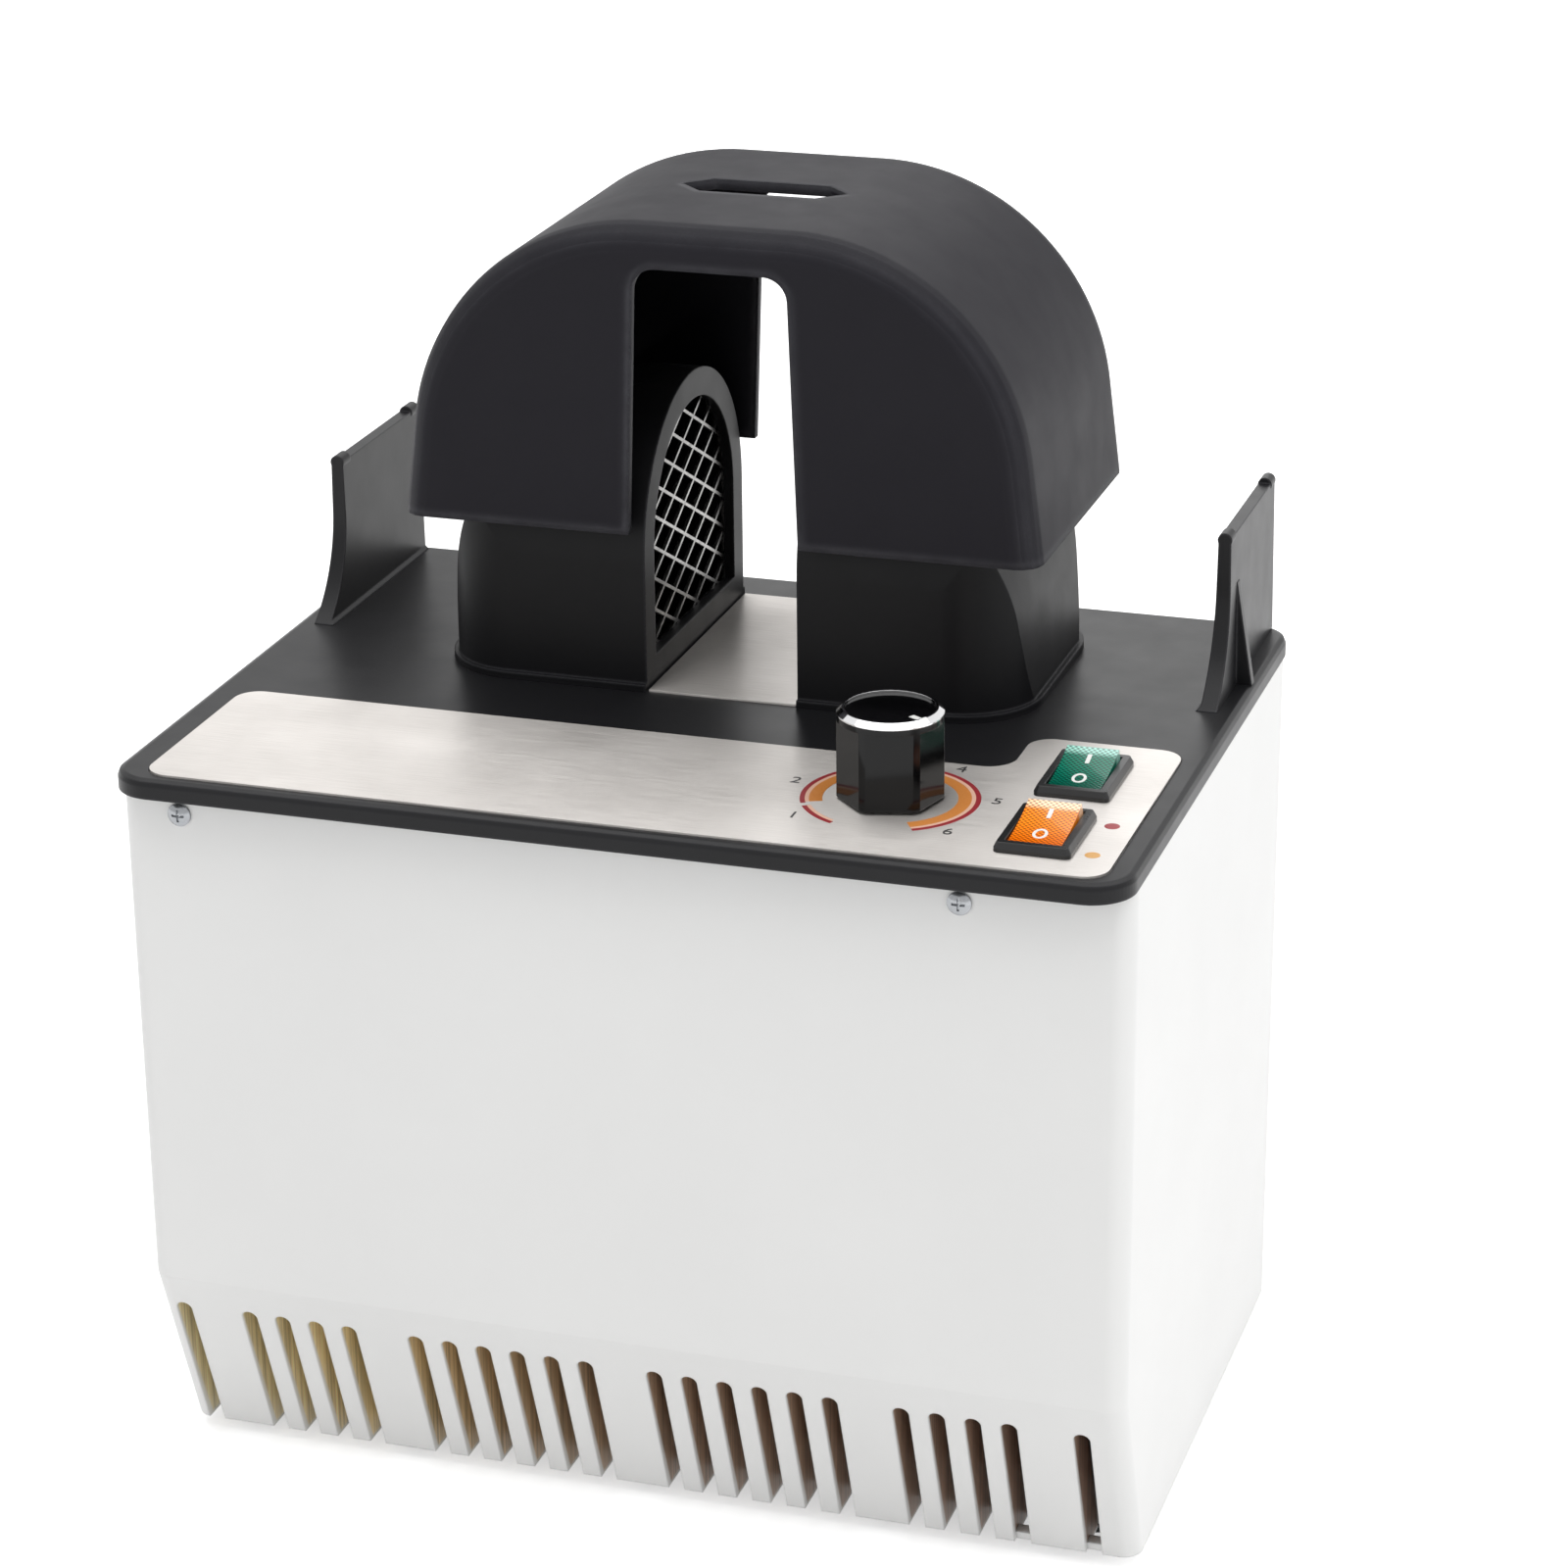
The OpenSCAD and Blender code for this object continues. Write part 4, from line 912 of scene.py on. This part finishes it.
@dataclass
class Housing(SubAssembly):
    """Casing, base plate, feet and what fastens them."""

    wear: Wear = (
        (WHITE_ABS, ("casing",)),
        (COATED_STEEL, ("base_plate",)),
        (FOOT_RUBBER, ("feet",)),
        (ZINC_STEEL, ("foot_screws", "casing_screws")),
        (GLAND_NYLON, ("cord_gland",)))


@dataclass
class AirOutlets(SubAssembly):
    """Deck, side rests, nozzles with their grilles, and the bright plate between them."""

    wear: Wear = (
        (BLACK_NYLON, ("deck", "left_rest", "right_rest")),
        (NOZZLE_NYLON, ("left_nozzle", "right_nozzle")),
        (EXPANDED_STAINLESS, ("left_grille", "right_grille")),
        (BRUSHED_STAINLESS, ("gap_plate",)),
        (ZINC_STEEL, ("nozzle_screws",)))


@dataclass
class Hood(SubAssembly):
    """The loose hood that lifts off."""

    wear: Wear = ((HOOD_NYLON, ("hood",)),)


@dataclass
class DialPrint:
    """What is printed round the knob.

    Attributes:
        ink: Thickness of the ink.
        arcs: Name, middle radius, width, ink and spans of each set of arcs. A span is its start and end in
            degrees from +X.
        arc_step: Degrees that one span of an arc covers.
        least_spans: Fewest spans of an arc.
        slot: Material slot of what is printed on the plate.
        numeral_radius: Radius on which the numerals stand.
        numeral_size: Height of the type.
        first: Angle of the first numeral.
        last: Angle of the last numeral.
        count: How many numerals there are.
    """

    ink: float = 0.05 * MM
    arcs: tuple[tuple[str, float, float, ScreenInk, tuple[tuple[float, float], ...]], ...] = (
        ("red", 17.0 * MM, 1.0 * MM, RED_INK, ((-60.0, 205.0), (210.0, 245.0))),
        ("peach", 16.1 * MM, 0.8 * MM, PEACH_INK, ((-60.0, 203.0), (210.0, 243.0))),
        ("orange", 14.4 * MM, 2.6 * MM, ORANGE_INK, ((-60.0, 203.0),)))
    arc_step: float = 3.0
    least_spans: int = 8
    slot: str = "brushed_plate"
    numeral_radius: float = 20.6 * MM
    numeral_size: float = 4.4 * MM
    first: float = 222.0
    last: float = -42.0
    count: int = 6

    def build(self, shop: Workshop, centre: Vector) -> None:
        """Prints the arcs and the numerals on the plate.

        Args:
            shop: Where finishes come from.
            centre: The knob's axis on the plate's upper face.
        """
        top = centre + Vector((0.0, 0.0, self.ink))
        down = Vector((0.0, 0.0, -self.ink))
        for colour, radius, width, ink, spans in self.arcs:
            for index, (start, end) in enumerate(spans):
                steps = max(self.least_spans, round((end - start) / self.arc_step))
                inner = arc_points(top, radius - width / 2, start, end, steps)
                outer = arc_points(top, radius + width / 2, start, end, steps)
                name = f"dial_arc_{colour}_{index + 1}"
                shop.place(name, ribbon(name, inner, outer, down), ink, Body.HOUSING, self.slot)
        for index in range(self.count):
            angle = math.radians(self.first + (self.last - self.first) * index / (self.count - 1))
            spot = centre + self.numeral_radius * Vector((math.cos(angle), math.sin(angle), 0.0))
            spot.z += self.ink / 2
            mesh = numeral(str(index + 1), self.numeral_size, self.ink, spot)
            shop.place(f"dial_numeral_{index + 1}", mesh, BLACK_INK, Body.HOUSING, self.slot)


@dataclass
class RockerMarks:
    """The plain bar and ring printed on a rocker's hollow face.

    Attributes:
        pivot_drop: From the bezel's top down to the rocker's pin.
        rise: From the pin up to the middle of the face.
        dish: Radius of the hollow face.
        tilt: The rocker's tilt at rest in degrees.
        ink: Thickness of the ink.
        bar_size: Width and length of the bar.
        bar_y: Middle of the bar behind the pin.
        bar_spans: Spans along the bar.
        ring_size: Half width and half length of the ring.
        ring_line: Width of the ring's line.
        ring_y: Middle of the ring, in front of the pin.
        ring_spans: Spans round the ring.
    """

    pivot_drop: float = 2.6 * MM
    rise: float = 2.9 * MM
    dish: float = 55.0 * MM
    tilt: float = 9.0
    ink: float = 0.06 * MM
    bar_size: tuple[float, float] = (0.85 * MM, 3.1 * MM)
    bar_y: float = 4.0 * MM
    bar_spans: int = 8
    ring_size: tuple[float, float] = (1.45 * MM, 2.0 * MM)
    ring_line: float = 0.6 * MM
    ring_y: float = -3.6 * MM
    ring_spans: int = 40

    def on_face(self, pivot: Vector, x: float, y: float) -> Vector:
        """Finds a point on the hollow face.

        Args:
            pivot: Middle of the rocker's pin.
            x: Sideways from the middle of the rocker.
            y: To the rear of the pin along the face.

        Returns:
            The point, a layer of ink above the face.
        """
        height = self.rise + self.dish - math.sqrt(self.dish**2 - y**2) + self.ink
        lean = math.radians(self.tilt)
        return pivot + Vector((x, y * math.cos(lean) - height * math.sin(lean),
            y * math.sin(lean) + height * math.cos(lean)))

    def build(self, shop: Workshop, colour: str, body: Body) -> None:
        """Prints the bar and the ring on one rocker.

        Args:
            shop: Where finishes come from.
            colour: The rocker's colour, as in its node's name.
            body: The body that the rocker belongs to.
        """
        low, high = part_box(f"{colour}_switch_case")
        pivot = Vector(((low.x + high.x) / 2, (low.y + high.y) / 2, high.z - self.pivot_drop))
        down = Vector((0.0, 0.0, -2 * self.ink))
        half, length = self.bar_size[0] / 2, self.bar_size[1]
        steps = [self.bar_y + length * (i / self.bar_spans - 0.5) for i in range(self.bar_spans + 1)]
        bar = [[self.on_face(pivot, side * half, y) for y in steps] for side in (-1, 1)]
        turns = [2 * math.pi * i / self.ring_spans for i in range(self.ring_spans)]
        wide, long = self.ring_size
        ring = [[self.on_face(pivot, (wide - line) * math.cos(a), self.ring_y + (long - line) * math.sin(a))
            for a in turns] for line in (self.ring_line, 0.0)]
        for mark, rails in (("bar", bar), ("ring", ring)):
            name = f"{colour}_rocker_{mark}"
            mesh = ribbon(name, rails[0], rails[1], down, closed=mark == "ring")
            shop.place(name, mesh, WHITE_INK, body, f"{colour}_lens")


@dataclass
class Controls(SubAssembly):
    """Control plate, knob, switches and the print on them.

    Attributes:
        wear: Each finish and the nodes that wear it.
        dial: The print round the knob.
        marks: The marks on both rockers.
        dot_radius: Radius of the two printed dots.
        dots: Place of each dot on the plate and its ink.
        dot_crown: Radius of a dot's level top and height of its side, as shares of its own.
        pointer_width: Width of the knob's pointer line.
        pointer_reach: Where the line starts and ends, as shares of the knob's radius.
        ring_crest: Inner and outer radius of the ring's level crest, as shares of the knob's radius.
        ring_rise: Share of the knob's radius over which the line climbs from the cap to that crest.
        ring_side: Height of the line's lower end over the ring's foot.
        pointer_ink: Height of the line over the cap, and its depth in the cap.
        pointer_angle: Direction of the line at rest in degrees from +X.
    """

    wear: Wear = (
        (BRUSHED_STAINLESS, ("control_plate",)),
        (KNOB_STYRENE, ("knob",)),
        (CHROME, ("knob_ring",)),
        (SWITCH_NYLON, ("green_switch_case", "orange_switch_case")),
        (GREEN_LENS, ("green_rocker",)),
        (ORANGE_LENS, ("orange_rocker",)),
        (STAMPED_BRASS, ("switch_tabs",)),
        (PHENOLIC, ("regulator",)),
        (ZINC_STEEL, ("regulator_nut",)),
        (GROUND_STEEL, ("regulator_shaft",)))
    dial: DialPrint = field(default_factory=DialPrint)
    marks: RockerMarks = field(default_factory=RockerMarks)
    dot_radius: float = 1.5 * MM
    dots: tuple[tuple[str, float, float, ScreenInk], ...] = (
        ("red", 93.3 * MM, -47.5 * MM, RED_INK), ("amber", 93.2 * MM, -62.6 * MM, AMBER_INK))
    dot_crown: tuple[float, float] = (0.8, 0.5)
    pointer_width: float = 1.3 * MM
    pointer_reach: tuple[float, float] = (0.55, 0.985)
    ring_crest: tuple[float, float] = (0.862, 0.893)
    ring_rise: float = 0.02
    ring_side: float = 0.4 * MM
    pointer_ink: float = 0.08 * MM
    pointer_angle: float = -30.0

    def dress(self, shop: Workshop) -> None:
        """Gives the controls' nodes their finishes and prints on them.

        Args:
            shop: Where finishes come from.
        """
        super().dress(shop)
        plate_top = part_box("control_plate")[1].z
        low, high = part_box("knob")
        axis = Vector(((low.x + high.x) / 2, (low.y + high.y) / 2, plate_top))
        self.dial.build(shop, axis)
        self.marks.build(shop, "green", Body.GREEN)
        self.marks.build(shop, "orange", Body.ORANGE)
        for colour, x, y, ink in self.dots:
            r, rise = self.dot_radius, self.dial.ink
            inner, side = self.dot_crown[0] * r, self.dot_crown[1] * rise
            profile = [(0.0, 0.0), (r, 0.0), (r, side), (inner, rise), (0.0, rise)]
            name = f"plate_dot_{colour}"
            mesh = turned(name, profile, Vector((x, y, plate_top)))
            shop.place(name, mesh, ink, Body.HOUSING, self.dial.slot)
        self.pointer(shop, axis, (high.x - low.x) / 2)

    def pointer(self, shop: Workshop, axis: Vector, radius: float) -> None:
        """Lays the white line on the knob's cap and over its ring.

        Args:
            shop: Where finishes come from.
            axis: A point on the knob's axis.
            radius: The knob's radius.
        """
        ring_low, ring_top = (corner.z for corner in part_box("knob_ring"))
        cap_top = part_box("knob")[1].z
        angle = math.radians(self.pointer_angle)
        along = Vector((math.cos(angle), math.sin(angle), 0.0))
        side = Vector((-along.y, along.x, 0.0)) * self.pointer_width / 2
        start, end = self.pointer_reach
        ends = [start, self.ring_crest[0] - self.ring_rise, *self.ring_crest, end]
        heights = [cap_top, cap_top, ring_top, ring_top, ring_low + self.ring_side]
        line = [Vector((axis.x, axis.y, h + self.pointer_ink)) + along * radius * e
            for e, h in zip(ends, heights)]
        mesh = ribbon("knob_pointer", [p - side for p in line], [p + side for p in line],
            Vector((0.0, 0.0, -2 * self.pointer_ink)))
        shop.place("knob_pointer", mesh, WHITE_INK, Body.DIAL, "knob_gloss")


@dataclass
class AirPath(SubAssembly):
    """Duct, heater and fan inside the casing."""

    wear: Wear = (
        (GALVANISED, ("duct",)),
        (MICA_BOARD, ("heater_frame",)),
        (HEATED_RIBBON, ("heater_ribbon",)),
        (PHENOLIC, ("thermal_cutout",)),
        (FAN_POLYESTER, ("fan_frame", "fan_impeller")),
        (VARNISHED_STEEL, ("fan_motor",)),
        (GROUND_STEEL, ("fan_shaft",)),
        (ZINC_STEEL, ("duct_screws", "fan_screws")))


@dataclass
class Electrics(SubAssembly):
    """Control board and terminal block inside the casing."""

    wear: Wear = (
        (SOLDER_MASK, ("control_board",)),
        (EPOXY, ("board_parts",)),
        (NATURAL_NYLON, ("board_posts", "terminal_block")))


# ---------------------------------------- studio


@dataclass(frozen=True)
class Lamp:
    """One soft square lamp.

    Attributes:
        name: The lamp's name.
        place: Where it hangs.
        aim: The point that it faces.
        size: Its side in metres.
        watts: Its power.
        mirrored: False for a fill lamp that shiny faces don't mirror.
    """

    name: str
    place: tuple[float, float, float]
    aim: tuple[float, float, float]
    size: float
    watts: float
    mirrored: bool = True

    def hang(self) -> None:
        """Adds the lamp to the scene."""
        light = bpy.data.lights.new(self.name, "AREA")
        light.size = self.size
        light.energy = self.watts
        lamp = bpy.data.objects.new(self.name, light)
        lamp.visible_camera = False
        lamp.visible_glossy = self.mirrored
        facing = (Vector(self.place) - Vector(self.aim)).to_track_quat("Z", "Y")
        lamp.matrix_world = Matrix.Translation(self.place) @ facing.to_matrix().to_4x4()
        bpy.context.scene.collection.objects.link(lamp)


@dataclass
class Studio:
    """Camera, lamps, world and floor.

    Attributes:
        eye: Where the camera stands.
        azimuth: How far round to the right of the front it stands, in degrees.
        elevation: How far up it stands, in degrees.
        roll: Its lean, in degrees.
        lens: Focal length in millimetres.
        sensor: Width of the sensor in millimetres.
        floor_half: Half the floor's width.
        sky: Strength of the world's even light on the object.
        lamps: The lamps.
    """

    eye: Vector = field(default_factory=lambda: Vector((0.2719, -0.8066, 0.4694)))
    azimuth: float = 17.8
    elevation: float = 21.28
    roll: float = -0.55
    lens: float = 101.68
    sensor: float = 36.0
    floor_half: float = 6.0
    sky: float = 0.32
    lamps: tuple[Lamp, ...] = (
        Lamp("lamp_overhead", (0.1, 0.0, 1.8), (0.0, -0.05, 0.15), 2.6, 34.0),
        Lamp("lamp_back", (-0.2, 1.5, 0.68), (0.05, 0.0, 0.16), 0.6, 1.0),
        Lamp("lamp_right", (1.6, -0.4, 0.8), (0.0, 0.0, 0.1), 1.2, 9.0, mirrored=False),
        Lamp("lamp_front", (-0.9, -1.6, 0.6), (0.0, 0.0, 0.1), 1.4, 6.5, mirrored=False))

    def build(self, shop: Workshop) -> None:
        """Sets up the whole studio.

        Args:
            shop: Where finishes come from.
        """
        self.camera()
        self.world()
        self.floor(shop)
        for lamp in self.lamps:
            lamp.hang()
        bpy.context.scene.view_settings.view_transform = "Standard"

    def camera(self) -> None:
        """Stands the camera where the object's own edges say that it stood."""
        az, el, roll = (math.radians(a) for a in (self.azimuth, self.elevation, self.roll))
        back = Vector((math.sin(az) * math.cos(el), -math.cos(az) * math.cos(el), math.sin(el)))
        right = Vector((math.cos(az), math.sin(az), 0.0))
        up = back.cross(right)
        side = right * math.cos(roll) + up * math.sin(roll)
        top = up * math.cos(roll) - right * math.sin(roll)
        lens = bpy.data.cameras.new("camera")
        lens.lens = self.lens
        lens.sensor_width = self.sensor
        eye = bpy.data.objects.new("camera", lens)
        eye.matrix_world = Matrix.Translation(self.eye) @ Matrix((side, top, back)).transposed().to_4x4()
        bpy.context.scene.collection.objects.link(eye)
        bpy.context.scene.camera = eye

    def world(self) -> None:
        """Makes a white world that shows at full strength and lights the object at less."""
        world = bpy.data.worlds.new("studio")
        bpy.context.scene.world = world
        world.use_nodes = True
        tree = world.node_tree
        tree.nodes.clear()
        strength = add_node(tree, "Mix", {"A": self.sky, "B": 1.0}, {"Factor": seen_ray(tree)})
        glow = add_node(tree, "Background", {"Color": WHITE}, {"Strength": strength})
        add_node(tree, "OutputWorld", links={"Surface": glow})

    def floor(self, shop: Workshop) -> None:
        """Lays the studio floor.

        Args:
            shop: Where finishes come from.
        """
        half = self.floor_half
        corners = [(-half, -half, 0), (half, -half, 0), (half, half, 0), (-half, half, 0)]
        mesh = bpy.data.meshes.new("floor")
        mesh.from_pydata(corners, [], [(0, 1, 2, 3)])
        mesh.materials.append(shop.material(STUDIO_PAPER))
        floor = bpy.data.objects.new("floor", mesh)
        bpy.context.scene.collection.objects.link(floor)


def main() -> None:
    """Builds the sub-assemblies and the studio in order."""
    logging.basicConfig(level=logging.INFO, format="%(name)s: %(message)s")
    shop = Workshop()
    for part in (Housing(), AirOutlets(), Hood(), Controls(), AirPath(), Electrics()):
        part.dress(shop)
    Studio().build(shop)


if __name__ == "__main__":
    main()
